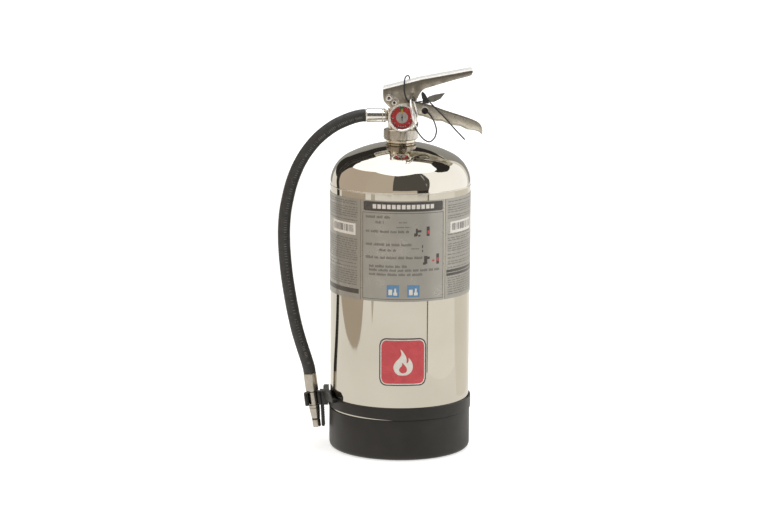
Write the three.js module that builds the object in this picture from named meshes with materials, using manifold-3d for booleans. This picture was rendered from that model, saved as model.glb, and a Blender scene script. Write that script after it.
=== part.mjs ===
// A rechargeable stored-pressure fire extinguisher of the six-litre class: a stainless cylinder in a plastic boot,
// a plated valve with a pressure gauge, a squeeze lever over a fixed carry handle, a pull pin with its tamper seal,
// and a rubber hose whose nozzle snaps into a clip beside the boot.
//
// Millimetres. The origin is the centre of the boot's underside and +Z points up the cylinder's axis.
// The gauge faces -Y, the lever and handle reach towards +X, and the hose hangs on the -X side.

import * as THREE from "three";
import { mergeVertices } from "three/addons/utils/BufferGeometryUtils.js";
import Module from "manifold-3d";

// ---- Driving dimensions ----

const GAP = 0.3; // between pieces that touch
const TANK_SEGMENTS = 40; // facets round the cylinder, boot and band
const GAUGE_SEGMENTS = 24;

const TANK_R = 88.9;
const TANK_WALL = 1.2;
const SEAM_Z = 340; // the middle of the girth weld
const BEAD_H = 4;
const BEAD_PROUD = 0.6;
const DOME_CROWN_R = 148;
const DOME_KNUCKLE_R = 40;
const DOME_TANGENT_Z = SEAM_Z + 2.5;
const BOTTOM_TANGENT_Z = 50;
const BOTTOM_KNUCKLE_R = 30;
const NECK_HOLE_R = 16.2;

const BOOT_R = 90.2;
const BOOT_H = 52;
const BOOT_FILLET = 7;
const BOOT_FLOOR = 3.6;
const BAND_R = 91.4;
const BAND_Z = [52.4, 68];

const VALVE_AXIS_NECK_Z = 397.2; // the neck ring's top face
const BARREL_R = 16;
const SHANK_R = 14.3;
const NUT_ACROSS = 42.4;
const NUT_Z = [397.5, 410.6];
const NUT_CORNER_AT = -7; // degrees from the front, towards +X
const BLOCK_HALF_Y = 10.4;
const OUTLET_Z = 427.2;

const SHEET = 2; // the lever's and the handle's steel
const HANDLE_HALF_Y = 12.7;
const LEVER_HALF_Y = 15;
const PIVOT = { x: -14.9, z: 451.6 }; // the lever's hinge
const HANDLE_RIVET = { x: -8.1, z: 445.3 };
const RIVET_R = 2.6;
const RIVET_HEAD_R = 3.65; // the handle rivet's
const LEVER_RIVET_HEAD_R = 4.4;
const LEVER_TRAVEL = THREE.MathUtils.degToRad(12);

const PIN = { x: 15.2, z: 449.6 };
const PIN_R = 1.6;
const PIN_TIP_Y = 19;
const EYE_Y = -25.5;
const RING_R = 18; // to the middle of its wire
const RING_WIRE_R = 1.3;
const RING_LEAN = THREE.MathUtils.degToRad(36); // how far out from hanging straight down it rests
const RING_TILT = THREE.MathUtils.degToRad(11.5); // its plane's tilt about Y, away from the gauge
const RING_YAW = THREE.MathUtils.degToRad(8); // its plane's turn about Z, its front edge towards the gauge
const EYE = { halfX: 4.6, slotHalfX: 3.3, slotHalfY: 5.7, thick: 1.3 }; // the pin's flat eye and its oblong slot

const GAUGE = { x: 1.6, z: 427.6 };
const GAUGE_R = 17.3;
const GAUGE_DEPTH = [17.4, 29.3]; // its case's back and its bezel's front, as -Y

const HOSE_R = 8;
const FERRULE_R = 8.85;
const NOZZLE_TOP = { x: -115.4, z: 93.7 }; // the lower ferrule's upper face
const NOZZLE_TILT = THREE.MathUtils.degToRad(7.6); // its lower end leans towards the cylinder
const NECK_R = 5.5; // the stretch of the nozzle that the clip holds
const SEAL_R = 0.9;

const LABEL_Z = [204.5, 331.5];
const LABEL_LIFT = 0.15;
const LABEL_THICK = 0.35;

// The hose's middle line from the upper ferrule to the lower one, as x and z; it lies in the plane Y = 0.
const HOSE_ROUTE = [
  [-44.1, 427.2], [-49, 427], [-58.5, 425], [-70.5, 420.6], [-83.5, 414.2], [-95, 406.2], [-105.6, 396.9],
  [-115.2, 385.8], [-124.2, 372.6], [-131.8, 357.7], [-138.2, 340.4], [-142.9, 321.9], [-146.3, 303.4],
  [-147.9, 284.5], [-148, 266], [-147, 247], [-144.6, 222.5], [-141, 198], [-136.4, 172.5], [-131.4, 150],
  [-125.3, 129], [-121.6, 117.5], [-118.3, 107], [-116.2, 99], [-115.5, 94.1],
];

// ---- Solids: joins and cuts are done with manifold-3d on closed meshes ----

const wasm = await Module();
wasm.setup();

function toSolid(geometry) {
  const bare = new THREE.BufferGeometry();
  const source = geometry.index ? geometry.toNonIndexed() : geometry;
  bare.setAttribute("position", source.getAttribute("position"));
  const merged = mergeVertices(bare, 1e-4);
  return new wasm.Manifold(
    new wasm.Mesh({
      numProp: 3,
      vertProperties: merged.attributes.position.array,
      triVerts: new Uint32Array(merged.index.array),
    }),
  );
}

function toGeometry(solid) {
  const mesh = solid.getMesh();
  const geometry = new THREE.BufferGeometry();
  geometry.setAttribute("position", new THREE.BufferAttribute(new Float32Array(mesh.vertProperties), 3));
  geometry.setIndex(new THREE.BufferAttribute(new Uint32Array(mesh.triVerts), 1));
  return geometry;
}

const join = (first, ...others) => toGeometry(others.reduce((a, g) => a.add(toSolid(g)), toSolid(first)));
const cut = (first, ...others) => toGeometry(others.reduce((a, g) => a.subtract(toSolid(g)), toSolid(first)));
const common = (first, second) => toGeometry(toSolid(first).intersect(toSolid(second)));

// ---- Shape makers ----

const rad = THREE.MathUtils.degToRad;

// A point at an angle from the front (-Y) towards +X.
const around = (r, degrees) => [r * Math.sin(rad(degrees)), -r * Math.cos(rad(degrees))];

// Points on an arc about (x, z), from one angle to another in degrees, both ends included.
function arc(x, z, r, from, to, steps) {
  return Array.from({ length: steps + 1 }, (_, i) => {
    const a = rad(from + ((to - from) * i) / steps);
    return [x + r * Math.cos(a), z + r * Math.sin(a)];
  });
}

// A solid of revolution about Z from its outline of [radius, z] points.
function turned(outline, segments = 32) {
  let points = outline.map(([r, z]) => new THREE.Vector2(r, z));
  if (THREE.ShapeUtils.isClockWise(points)) points.reverse();
  const closed = points[0].x > 1e-6 || points.at(-1).x > 1e-6;
  if (closed) points = [...points, points[0].clone()];
  return new THREE.LatheGeometry(points, segments).rotateX(Math.PI / 2);
}

const tube = (inner, outer, low, high, segments) =>
  turned([[inner, low], [outer, low], [outer, high], [inner, high]], segments);

const rod = (r, low, high, segments = 20) => turned([[0, low], [r, low], [r, high], [0, high]], segments);

// Lays a solid made along +Z over, so that its +Z points along -Y, and moves it to (x, z).
const facing = (geometry, at) => geometry.rotateX(Math.PI / 2).translate(at.x, 0, at.z);

// Lays a solid made along +Z over, so that its +Z points along -X, and moves it to height z.
const sideways = (geometry, z) => geometry.rotateY(-Math.PI / 2).translate(0, 0, z);

// A plate with an outline of [x, z] points, from low to high along Y.
function plate(outline, low, high, holes = []) {
  const shape = new THREE.Shape(outline.map(([x, z]) => new THREE.Vector2(x, z)));
  shape.holes = holes.map((hole) => new THREE.Path(hole.map(([x, z]) => new THREE.Vector2(x, z))));
  const geometry = new THREE.ExtrudeGeometry(shape, { depth: high - low, bevelEnabled: false, steps: 1 });
  return geometry.rotateX(Math.PI / 2).translate(0, high, 0);
}

const box = (x, y, z) =>
  new THREE.BoxGeometry(x[1] - x[0], y[1] - y[0], z[1] - z[0]).translate(
    (x[0] + x[1]) / 2,
    (y[0] + y[1]) / 2,
    (z[0] + z[1]) / 2,
  );

const circle = (x, z, r, steps = 16) => arc(x, z, r, 0, 360 - 360 / steps, steps - 1);

// A wall that follows the cylinder, between two angles from the front and two heights.
function curvedWall(inner, outer, angles, heights, steps) {
  const ring = (r, from, to) =>
    Array.from({ length: steps + 1 }, (_, i) => new THREE.Vector2(...around(r, from + ((to - from) * i) / steps)));
  const shape = new THREE.Shape([...ring(outer, ...angles), ...ring(inner, angles[1], angles[0])]);
  const geometry = new THREE.ExtrudeGeometry(shape, {
    depth: heights[1] - heights[0],
    bevelEnabled: false,
    steps: 1,
  });
  return geometry.translate(0, 0, heights[0]);
}

// A round section swept along a smooth line through the points.
function cord(points, r, sides, steps) {
  const path = new THREE.CatmullRomCurve3(points.map((p) => new THREE.Vector3(...p)), false, "centripetal");
  return swept(path, circle(0, 0, r, sides), steps);
}

function swept(path, section, steps) {
  const shape = new THREE.Shape(section.map(([x, y]) => new THREE.Vector2(x, y)));
  return new THREE.ExtrudeGeometry(shape, { steps, bevelEnabled: false, extrudePath: path });
}

// Half a dished head's outline above its tangent line, from the edge of its neck hole out to the cylinder wall.
function headOutline(wallR, crownR, knuckleR, holeR, crownSteps, knuckleSteps) {
  const drop = Math.sqrt((crownR - knuckleR) ** 2 - (wallR - knuckleR) ** 2);
  const meet = THREE.MathUtils.radToDeg(Math.acos((wallR - knuckleR) / (crownR - knuckleR)));
  const hole = THREE.MathUtils.radToDeg(Math.acos(holeR / crownR));
  return [
    ...arc(0, -drop, crownR, hole, meet, crownSteps),
    ...arc(wallR - knuckleR, 0, knuckleR, meet, 0, knuckleSteps).slice(1),
  ];
}

// ---- The assembly ----

const extinguisher = new THREE.Group();
extinguisher.name = "fire_extinguisher";

function finish(color, roughness, metalness) {
  return () => new THREE.MeshStandardMaterial({ color, roughness, metalness });
}

const polishedSteel = finish(0xc9c2b4, 0.08, 1);
const satinSteel = finish(0x9a948a, 0.35, 1);
const plated = finish(0xc8bda6, 0.2, 1);
const blackPlastic = finish(0x2f2d2a, 0.45, 0);
const blackRubber = finish(0x242424, 0.7, 0);
const paleNylon = finish(0xd8d6cf, 0.5, 0);

function add(name, geometry, material, parent = extinguisher) {
  const mesh = new THREE.Mesh(geometry, material());
  mesh.name = name;
  parent.add(mesh);
  return mesh;
}

// ---- Cylinder, boot and labels ----

function cylinder() {
  const outer = headOutline(TANK_R, DOME_CROWN_R, BOTTOM_KNUCKLE_R, 0, 2, 4);
  const inner = headOutline(
    TANK_R - TANK_WALL, DOME_CROWN_R - TANK_WALL, BOTTOM_KNUCKLE_R - TANK_WALL, 0, 2, 3,
  ).reverse();
  const top = SEAM_Z - BEAD_H / 2 - GAP;
  const below = ([r, h]) => [r, BOTTOM_TANGENT_Z - h];
  add(
    "cylinder_body",
    turned([...outer.map(below), [TANK_R, top], [TANK_R - TANK_WALL, top], ...inner.map(below)], TANK_SEGMENTS),
    polishedSteel,
  );

  const proud = TANK_R + BEAD_PROUD;
  const bead = [
    [TANK_R - TANK_WALL, SEAM_Z - BEAD_H / 2],
    [TANK_R - 0.1, SEAM_Z - BEAD_H / 2],
    [proud, SEAM_Z],
    [TANK_R - 0.1, SEAM_Z + BEAD_H / 2],
    [TANK_R - TANK_WALL, SEAM_Z + BEAD_H / 2],
  ];
  add("weld_bead", turned(bead, TANK_SEGMENTS), satinSteel);

  const foot = SEAM_Z + BEAD_H / 2 + GAP;
  const above = ([r, h]) => [r, DOME_TANGENT_Z + h];
  const outside = headOutline(TANK_R, DOME_CROWN_R, DOME_KNUCKLE_R, NECK_HOLE_R, 2, 6);
  const inside = headOutline(
    TANK_R - TANK_WALL, DOME_CROWN_R - TANK_WALL, DOME_KNUCKLE_R - TANK_WALL, NECK_HOLE_R, 2, 4,
  ).reverse();
  add(
    "cylinder_dome",
    turned([...outside.map(above), [TANK_R, foot], [TANK_R - TANK_WALL, foot], ...inside.map(above)], TANK_SEGMENTS),
    polishedSteel,
  );
}

function neck() {
  const top = VALVE_AXIS_NECK_Z;
  const ring = turned(
    [[14.6, 386], [15.9, 386], [15.9, 393.6], [18, 393.5], [18, top], [16.6, top], [16.6, 395], [14.6, 395]],
    32,
  );
  const ventSlot = box([0, 7], [-19, -16.9], [394.5, 396.3]);
  add("neck_ring", cut(ring, ventSlot), plated);
  add("neck_gasket", tube(14.65, 16.3, 395 + GAP, top, 32), blackRubber);
}

function boot() {
  const inner = TANK_R + GAP;
  const outline = [
    [0, 0],
    ...arc(BOOT_R - BOOT_FILLET, BOOT_FILLET, BOOT_FILLET, -90, 0, 3),
    [BOOT_R, BOOT_H - 1],
    [BOOT_R - 0.5, BOOT_H],
    [inner, BOOT_H],
    [inner, 14],
    [BOOT_R - BOOT_FILLET - 2, BOOT_FLOOR],
    [0, BOOT_FLOOR],
  ];
  add("boot", turned(outline, TANK_SEGMENTS), blackPlastic);

  const [low, high] = BAND_Z;
  const band = [
    [inner, low],
    [BAND_R - 0.5, low],
    [BAND_R, low + 0.7],
    [BAND_R, high - 0.7],
    [BAND_R - 0.5, high],
    [inner, high],
  ];
  add("hose_band", turned(band, TANK_SEGMENTS), blackPlastic);
}

function labels() {
  const foil = finish(0xa9a69e, 0.4, 0.3);
  const inner = TANK_R + LABEL_LIFT;
  const outer = inner + LABEL_THICK;
  add("label_front", curvedWall(inner, outer, [-32.7, 38], LABEL_Z, 14), foil);
  add("label_left", curvedWall(inner, outer, [-128, -33.6], LABEL_Z, 18), foil);
  add("label_right", curvedWall(inner, outer, [39.1, 133], LABEL_Z, 18), foil);

  const sticker = curvedWall(inner, outer, [-18, 23.4], [97, 158], 8);
  const mid = 2.7;
  const [midX] = around(TANK_R, mid);
  const corner = 9;
  const half = 30;
  const rounded = [
    ...arc(midX + half - corner, 158 - corner, corner, 0, 90, 3),
    ...arc(midX - half + corner, 158 - corner, corner, 90, 180, 3),
    ...arc(midX - half + corner, 97 + corner, corner, 180, 270, 3),
    ...arc(midX + half - corner, 97 + corner, corner, 270, 360, 3),
  ];
  add("badge_sticker", common(sticker, plate(rounded, -100, -50)), finish(0x9a1c26, 0.35, 0));
}

// ---- Valve ----

function valve() {
  const barrel = turned(
    [[0, 378], [SHANK_R - 0.8, 378], [SHANK_R, 379], [SHANK_R, 397.6], [BARREL_R, 397.6], [BARREL_R, 430.5],
      [BARREL_R - 1.5, 432], [0, 432]],
    28,
  );
  const block = plate(
    [[-12.5, 425], [12.8, 425], [12.8, 455], [10.5, 457.5], [-16.5, 457.5], [-19.6, 455], [-20.4, 450],
      [-18, 444], [-12.5, 439.5]],
    -BLOCK_HALF_Y,
    BLOCK_HALF_Y,
  );
  const outletBoss = sideways(rod(9.2, 8, 16.4, 24), OUTLET_Z);
  const gallery = turned(
    [[0, 377], [9, 377], [9, 404.4], [4.5, 404.4], [4.5, 407], [6.5, 407], [6.5, 433], [3.4, 433], [3.4, 451],
      [5.2, 451], [5.2, 458], [0, 458]],
    24,
  );
  const outletBore = sideways(turned([[0, 4], [3.2, 4], [3.2, 9], [5.5, 9], [5.5, 17], [0, 17]], 20), OUTLET_Z);
  const gaugePort = facing(rod(4.3, 5, 17, 16), GAUGE);
  const rivetHoles = [PIVOT, HANDLE_RIVET].map((at) => facing(rod(RIVET_R + GAP, -12, 12, 16), at));
  add("valve_body", cut(join(barrel, block, outletBoss), gallery, outletBore, gaugePort, ...rivetHoles), plated);

  const corner = NUT_ACROSS / 2 / Math.cos(Math.PI / 12);
  const prism = new THREE.CylinderGeometry(corner, corner, NUT_Z[1] - NUT_Z[0], 12)
    .rotateX(Math.PI / 2)
    .rotateZ(rad(NUT_CORNER_AT))
    .translate(0, 0, (NUT_Z[0] + NUT_Z[1]) / 2);
  const chamfered = turned(
    [[0, NUT_Z[0]], [20.4, NUT_Z[0]], [22.4, NUT_Z[0] + 1.4], [22.4, NUT_Z[1] - 1.4], [20.4, NUT_Z[1]],
      [0, NUT_Z[1]]],
    24,
  );
  add("collar_nut", cut(common(prism, chamfered), rod(BARREL_R + GAP, 390, 420, 28)), plated);

  add(
    "valve_stem",
    turned(
      [[0, 386.5], [2.4, 386.5], [2.4, 396], [7.5, 396], [7.5, 401.6], [3.1, 401.6], [3.1, 463.6], [2.3, 465],
        [1, 465.9], [0, 466]],
      20,
    ),
    satinSteel,
  );
  add("stem_seal", tube(3.3, 6.9, 401.6 + GAP, 403.9, 20), blackRubber);
  add("stem_oring", tube(3.35, 4.9, 451 + GAP, 453.3, 20), blackRubber);
  add("stem_bushing", tube(3.4, 4.9, 453.3 + GAP, 457, 20), plated);

  const coil = new THREE.Curve();
  const turns = 5;
  coil.getPoint = (t, target = new THREE.Vector3()) =>
    target.set(4.6 * Math.cos(t * turns * 2 * Math.PI), 4.6 * Math.sin(t * turns * 2 * Math.PI), 382.3 + 12.7 * t);
  add("stem_spring", swept(coil, circle(0, 0, 0.6, 5), turns * 10), satinSteel);

  add(
    "siphon_adapter",
    turned(
      [[3.5, 360], [6.1, 360], [6.1, 372.5], [11, 372.5], [11, 377.7], [8.7, 377.7], [8.7, 381.3], [3.5, 381.3]],
      24,
    ),
    paleNylon,
  );
  add("siphon_tube", tube(6.4, 7.8, 10, 372.2, 20), paleNylon);
}

// ---- Gauge: made along +Z, then turned to face the front ----

function gauge() {
  const [back, front] = GAUGE_DEPTH;
  const caseR = GAUGE_R - 0.2;
  const slope = 4.5;
  const inCase = (geometry) => facing(geometry, GAUGE);
  add(
    "gauge_case",
    inCase(
      turned(
        [[1.2, 9.2], [4, 9.2], [4, back], [caseR - slope, back], [caseR, back + slope], [caseR, 27], [caseR - 1, 27],
          [caseR - 1, back + slope + 0.5], [caseR - slope - 0.3, back + 1.2], [1.2, back + 1.2]],
        GAUGE_SEGMENTS,
      ),
    ),
    plated,
  );

  const loop = new THREE.Curve();
  loop.getPoint = (t, target = new THREE.Vector3()) => {
    const a = rad(-100 + 250 * t);
    return target.set(10 * Math.cos(a), 10 * Math.sin(a), 20.5);
  };
  const flatTube = [[-1.1, -0.5], [1.1, -0.5], [1.1, 0.5], [-1.1, 0.5]];
  add("bourdon_tube", inCase(swept(loop, flatTube, 18)), plated);

  add("gauge_dial", inCase(tube(1.2, 15.8, 22.4, 23, GAUGE_SEGMENTS)), finish(0xb3202a, 0.5, 0));
  const pointer = new THREE.ExtrudeGeometry(
    new THREE.Shape([[-0.9, -4.5], [0.9, -4.5], [0.75, 6], [0, 12], [-0.75, 6]].map((p) => new THREE.Vector2(...p))),
    { depth: 0.5, bevelEnabled: false, steps: 1 },
  ).translate(0, 0, 24.1);
  add("gauge_needle", inCase(join(rod(0.9, 21.6, 25, 12), pointer)), finish(0xe0b62a, 0.5, 0));
  add("gauge_lens", inCase(rod(15.8, 26, 26.8, GAUGE_SEGMENTS)), finish(0xffffff, 0.05, 0));
  add(
    "gauge_bezel",
    inCase(turned([[14, 27 + GAP], [GAUGE_R, 27 + GAP], [GAUGE_R, front - 0.9], [GAUGE_R - 0.9, front],
      [15.4, front], [14, front - 0.9]], GAUGE_SEGMENTS)),
    polishedSteel,
  );
}

// ---- Carry handle and squeeze lever ----

// The carry handle's outline, from the rear of its bracket along the finger grip to the tip and back.
const HANDLE_GRIP = [
  [20.9, 428.7], [28, 427.4], [34, 425.4], [39.5, 423], [45, 421.7], [49, 421.6], [52.9, 421], [58.5, 418.6],
  [64, 416.4], [69.5, 415.8], [75, 415.1], [79.6, 413], [84.1, 410.9], [90, 410.2], [95.3, 409.2], [99.6, 407.3],
  [102, 404.6],
];
const HANDLE_TOP = [
  [103.2, 406.4], [103.2, 411], [101.2, 414.8], [95.3, 419.5], [83, 424.2], [71.1, 428.1], [52.9, 433.9],
  [39.2, 438.9], [27, 442],
];
const HANDLE_BRACKET = [
  [19.3, 444.2], [19.4, 452], [17.8, 457], [13, 459.2], [-14, 459.2], [-19, 457.6], [-22, 453.6], [-21.8, 448.6],
  [-19.4, 444], [-13.5, 438.6], [-12, 433],
];
const HANDLE_HOLE = { x: 30.4, z: 434.8, r: 4.2 };

function carryHandle() {
  const outline = [[17.2, 433], ...HANDLE_GRIP, ...HANDLE_TOP, ...HANDLE_BRACKET];
  const web = [[17.2, 431], ...HANDLE_GRIP, ...HANDLE_GRIP.toReversed().map(([x, z]) => [x + 0.5, z + SHEET])];
  web.push([17.2, 433]);
  const holes = [
    circle(PIVOT.x, PIVOT.z, RIVET_R + GAP),
    circle(HANDLE_RIVET.x, HANDLE_RIVET.z, RIVET_R + GAP),
    circle(PIN.x, PIN.z, PIN_R + 0.4),
    circle(HANDLE_HOLE.x, HANDLE_HOLE.z, HANDLE_HOLE.r, 20),
  ];
  const inner = HANDLE_HALF_Y - SHEET;
  add(
    "carry_handle",
    join(
      plate(outline, -HANDLE_HALF_Y, -inner, holes),
      plate(outline, inner, HANDLE_HALF_Y, holes),
      plate(web, -HANDLE_HALF_Y + 0.05, HANDLE_HALF_Y - 0.05),
    ),
    satinSteel,
  );
}

// The lever's top line, rear to tip.
const LEVER_TOP = [[-21, 464.2], [25, 476.2], [88.6, 488.2]];

// How a point fixed in the world moves, seen from the lever, as the lever is squeezed.
function seenFromLever({ x, z }, angle) {
  const [dx, dz] = [x - PIVOT.x, z - PIVOT.z];
  return [PIVOT.x + dx * Math.cos(angle) - dz * Math.sin(angle), PIVOT.z + dx * Math.sin(angle) + dz * Math.cos(angle)];
}

function lever() {
  const headRoom = RIVET_HEAD_R + 1.2;
  const [clearX, clearZ] = seenFromLever(HANDLE_RIVET, LEVER_TRAVEL);
  const outline = [
    ...LEVER_TOP,
    [90.2, 485], [89, 481], [70, 475.2], [50.8, 469.6], [38, 465.6], [29.5, 462.8], [25.8, 459.8], [22.6, 454.4],
    [20.4, 449.8], [18.4, 446.3], [16, 445], [-2, 445],
    ...arc(clearX, clearZ, headRoom, 0, 90, 4),
    ...arc(HANDLE_RIVET.x, HANDLE_RIVET.z, headRoom, 100, 170, 3),
    ...arc(PIVOT.x, PIVOT.z, 7.7, 290, 190, 4),
    [-22.3, 458.5],
  ];
  const pinAfter = seenFromLever(PIN, LEVER_TRAVEL);
  const slotR = PIN_R + 0.45;
  const slot = [...arc(pinAfter[0], pinAfter[1], slotR, 0, 180, 6), ...arc(PIN.x, PIN.z, slotR, 180, 360, 6)];
  const holes = [circle(PIVOT.x, PIVOT.z, RIVET_R + GAP), slot];
  const web = [...LEVER_TOP, ...LEVER_TOP.toReversed().map(([x, z]) => [x + 0.4, z - SHEET])];
  const inner = LEVER_HALF_Y - SHEET;
  add(
    "lever",
    join(
      plate(outline, -LEVER_HALF_Y, -inner, holes),
      plate(outline, inner, LEVER_HALF_Y, holes),
      plate(web, -LEVER_HALF_Y + 0.05, LEVER_HALF_Y - 0.05),
    ),
    satinSteel,
  );
}

// A hollow rivet along Y whose heads' inner faces are at plus and minus halfGrip.
function rivet(name, at, halfGrip, headR) {
  const head = 1.2;
  const outline = [
    [1.5, -halfGrip - head],
    [headR - 0.5, -halfGrip - head],
    [headR, -halfGrip],
    [RIVET_R, -halfGrip],
    [RIVET_R, halfGrip],
    [headR, halfGrip],
    [headR - 0.5, halfGrip + head],
    [1.5, halfGrip + head],
  ];
  add(name, facing(turned(outline, 16), at), plated);
}

// ---- Pull pin, its ring and the tamper seal ----

function pullPin() {
  const shaft = turned([[0, -PIN_TIP_Y], [0.9, -PIN_TIP_Y], [PIN_R, 1.2 - PIN_TIP_Y], [PIN_R, 19], [0, 19]], 16);
  const flat = [PIN.z - EYE.thick / 2, PIN.z + EYE.thick / 2];
  const tongue = box([PIN.x - EYE.halfX, PIN.x + EYE.halfX], [EYE_Y - EYE.slotHalfY - 1.4, -18], flat);
  const slot = box(
    [PIN.x - EYE.slotHalfX, PIN.x + EYE.slotHalfX],
    [EYE_Y - EYE.slotHalfY, EYE_Y + EYE.slotHalfY],
    [PIN.z - 2, PIN.z + 2],
  );
  add("pull_pin", cut(join(facing(shaft, PIN), tongue), slot), satinSteel);

  const ring = new THREE.TorusGeometry(RING_R, RING_WIRE_R, 8, 24)
    .rotateY(Math.PI / 2)
    .translate(0, -RING_R * Math.sin(RING_LEAN), -RING_R * Math.cos(RING_LEAN))
    .rotateY(-RING_TILT)
    .rotateZ(-RING_YAW)
    .translate(PIN.x, EYE_Y, PIN.z);
  add("pin_ring", ring, polishedSteel);
}

// The strand that goes over the lever, from behind it to the front, as x, y and z.
const SEAL_OVER_LEVER = [
  [11.4, 16.7, 462], [11.2, 17, 468], [10.6, 16.4, 474], [9.2, 10.5, 476.8], [6.8, 0, 477.2], [5.2, -10, 475.8],
  [4.5, -15.4, 473.2], [4.2, -16.7, 468], [4.4, -16.5, 460], [5.8, -16.2, 453.2], [8.4, -16.2, 448.2],
  [11.3, -16.2, 446.2],
];
// The short strand from behind the ring to the lock.
const SEAL_TO_LOCK = [[17.6, -16.6, 445.4], [20.4, -17.2, 446.2], [23.4, -17.6, 447], [26.6, -17.8, 447.4]];
// The free tail beyond the lock.
const SEAL_TAIL = [
  [36.2, -19.5, 446.8], [41, -19.5, 442], [54.6, -19, 428], [68, -18.6, 412.9], [80.8, -18.2, 399.4],
];
// The loop from the handle's hole down and round to the bottom of the ring.
const SEAL_LOOP = [
  [31.4, -13.6, 434.4], [34.6, -15.4, 432.6], [39.2, -18, 427.1], [43.2, -21, 419.2], [44.9, -24, 411],
  [42.6, -27, 402.8], [36.4, -29.8, 398], [29.8, -32, 400.8], [24.8, -34.4, 406.2], [21, -35.8, 411.6],
  [18.4, -36.6, 414.6], [17.9, -36.9, 417.8], [18.8, -36.9, 420], [20.9, -36.7, 420.6],
];

function tamperSeal() {
  const black = finish(0x1f1f1f, 0.5, 0);
  add("seal_strand", cord(SEAL_OVER_LEVER, SEAL_R, 6, 22), black);
  add("seal_link", cord(SEAL_TO_LOCK, SEAL_R, 6, 4), black);
  add("seal_tail", cord(SEAL_TAIL, SEAL_R, 6, 8), black);
  add("seal_loop", cord(SEAL_LOOP, SEAL_R, 6, 28), black);
  const lock = box([27, 35.4], [-20.2, -15.8], [444.9, 449.7]);
  const leaf = plate(
    [[33, 446.6], [41.8, 446.9], [49.8, 450.8], [56, 458.6], [48.6, 457.4], [41.8, 456.1], [34.6, 453.6], [31, 448.4]],
    -18.3,
    -17.4,
  );
  const wing = plate(
    [[29, 447], [34, 448.6], [33.4, 452], [30.6, 457], [27, 460.4], [25.4, 457.4], [26.4, 451.6]],
    -18.9,
    -18,
  );
  add("seal_flag", join(lock, leaf, wing), finish(0x4a4a46, 0.5, 0));
}

// ---- Hose, nozzle and clip ----

// Places what is made along +Z, from the lower ferrule's upper face downwards, on the nozzle's leaning axis.
const onNozzle = (geometry) =>
  geometry.rotateX(Math.PI).rotateY(-NOZZLE_TILT).translate(NOZZLE_TOP.x, 0, NOZZLE_TOP.z);

function hose() {
  add(
    "outlet_fitting",
    sideways(
      turned([[2.8, 10], [5.2, 10], [5.2, 18], [7.9, 18], [7.9, 18.8], [5.2, 18.8], [5.2, 30], [2.8, 30]], 20),
      OUTLET_Z,
    ),
    plated,
  );
  add("outlet_oring", sideways(tube(5.5, 7.6, 16.7, 17.7, 20), OUTLET_Z), blackRubber);
  add(
    "hose_ferrule_top",
    sideways(
      turned([[5.5, 19.1], [FERRULE_R - 0.5, 19.1], [FERRULE_R, 19.7], [FERRULE_R, 43.1], [FERRULE_R - 0.4, 43.7],
        [3.2, 43.7], [3.2, 30.4], [5.5, 30.4]], 20),
      OUTLET_Z,
    ),
    plated,
  );
  add("hose", cord(HOSE_ROUTE.map(([x, z]) => [x, 0, z]), HOSE_R, 12, 30), blackRubber);
  add(
    "hose_ferrule_bottom",
    onNozzle(turned([[3, GAP], [7.9, GAP], [8.25, 1], [8.25, 23], [7.6, 24], [3, 24]], 20)),
    plated,
  );
}

function nozzle() {
  const body = turned(
    [[2.6, 24.4], [4.7, 24.4], [4.7, 25.2], [NECK_R, 25.4], [NECK_R, 42], [7, 42.4], [7, 45.2], [6.6, 45.8],
      [6.9, 46.4], [5.5, 59.6], [4.3, 60], [4.3, 61.6], [2.6, 61.6]],
    20,
  );
  add("nozzle_body", onNozzle(body), plated);
  add("nozzle_oring", onNozzle(tube(4.6, 5.3, 60.2, 61.4, 20)), blackRubber);
  const tip = turned([[2.2, 61.9], [5.25, 61.9], [5.25, 70.6], [4.4, 71.6], [3.4, 71.6], [2.2, 69]], 24);
  const notches = [0, 60, 120].map((a) => box([-7, 7], [-0.7, 0.7], [70.4, 73]).rotateZ(rad(a)));
  add("nozzle_tip", onNozzle(cut(tip, ...notches)), plated);
}

// The clip hugs the band on the -X side, and its open jaw holds the nozzle's neck from behind.
function nozzleClip() {
  const fromLeft = (degrees) => degrees - 90; // an angle from -X towards the front, as one from the front
  const inner = BAND_R + GAP + 0.1;
  const crest = curvedWall(inner, 98, [fromLeft(-8), fromLeft(30)], [65, 76], 12);
  const side = plate(
    [[-104, 65], [-104, 69.5], [-102.6, 70.5], [-99, 75.6], [-88, 75.6], [-84.6, 70], [-79.5, 69], [-79.5, 65]],
    -60,
    30,
  );
  const arms = [
    ...arc(0, 0, 11.2, 0, 180, 10),
    [-11.2, -5.5], [-10.4, -7.6], [-8.6, -8.2], [-6.6, -7.4], [-NECK_R - 0.4, -5.6],
    ...arc(0, 0, NECK_R + 0.4, 180, 0, 8),
    [NECK_R + 0.4, -5.6], [6.6, -7.4], [8.6, -8.2], [10.4, -7.6], [11.2, -5.5],
  ];
  const jaw = new THREE.ExtrudeGeometry(
    new THREE.Shape(arms.map(([x, y]) => new THREE.Vector2(x, -y))),
    { depth: 16, bevelEnabled: false, steps: 1 },
  ).translate(0, 0, 25.8);
  const outsideBand = curvedWall(inner, 110, [fromLeft(-20), fromLeft(20)], [48, 82], 12);
  const block = common(box([-102.6, -91], [-6.5, 9], [52.8, 70.5]), outsideBand);
  add("nozzle_clip", join(common(crest, side), onNozzle(jaw), block), blackPlastic);

  const teeth = 9;
  const pitch = 3;
  const lean = 0.05; // it leans as the nozzle does
  const serrated = Array.from({ length: teeth }, (_, i) => [
    [-96.6 + lean * pitch * i, 50 - pitch * i],
    [-97.5 + lean * pitch * i, 50 - pitch * (i + 0.85)],
  ]).flat();
  const outline = [[-101.4, 50], [-100.1, 24.5], [-98.6, 22.6], ...serrated.toReversed()];
  add("strap_tail", plate(outline, 0, 7), blackPlastic);
}

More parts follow.
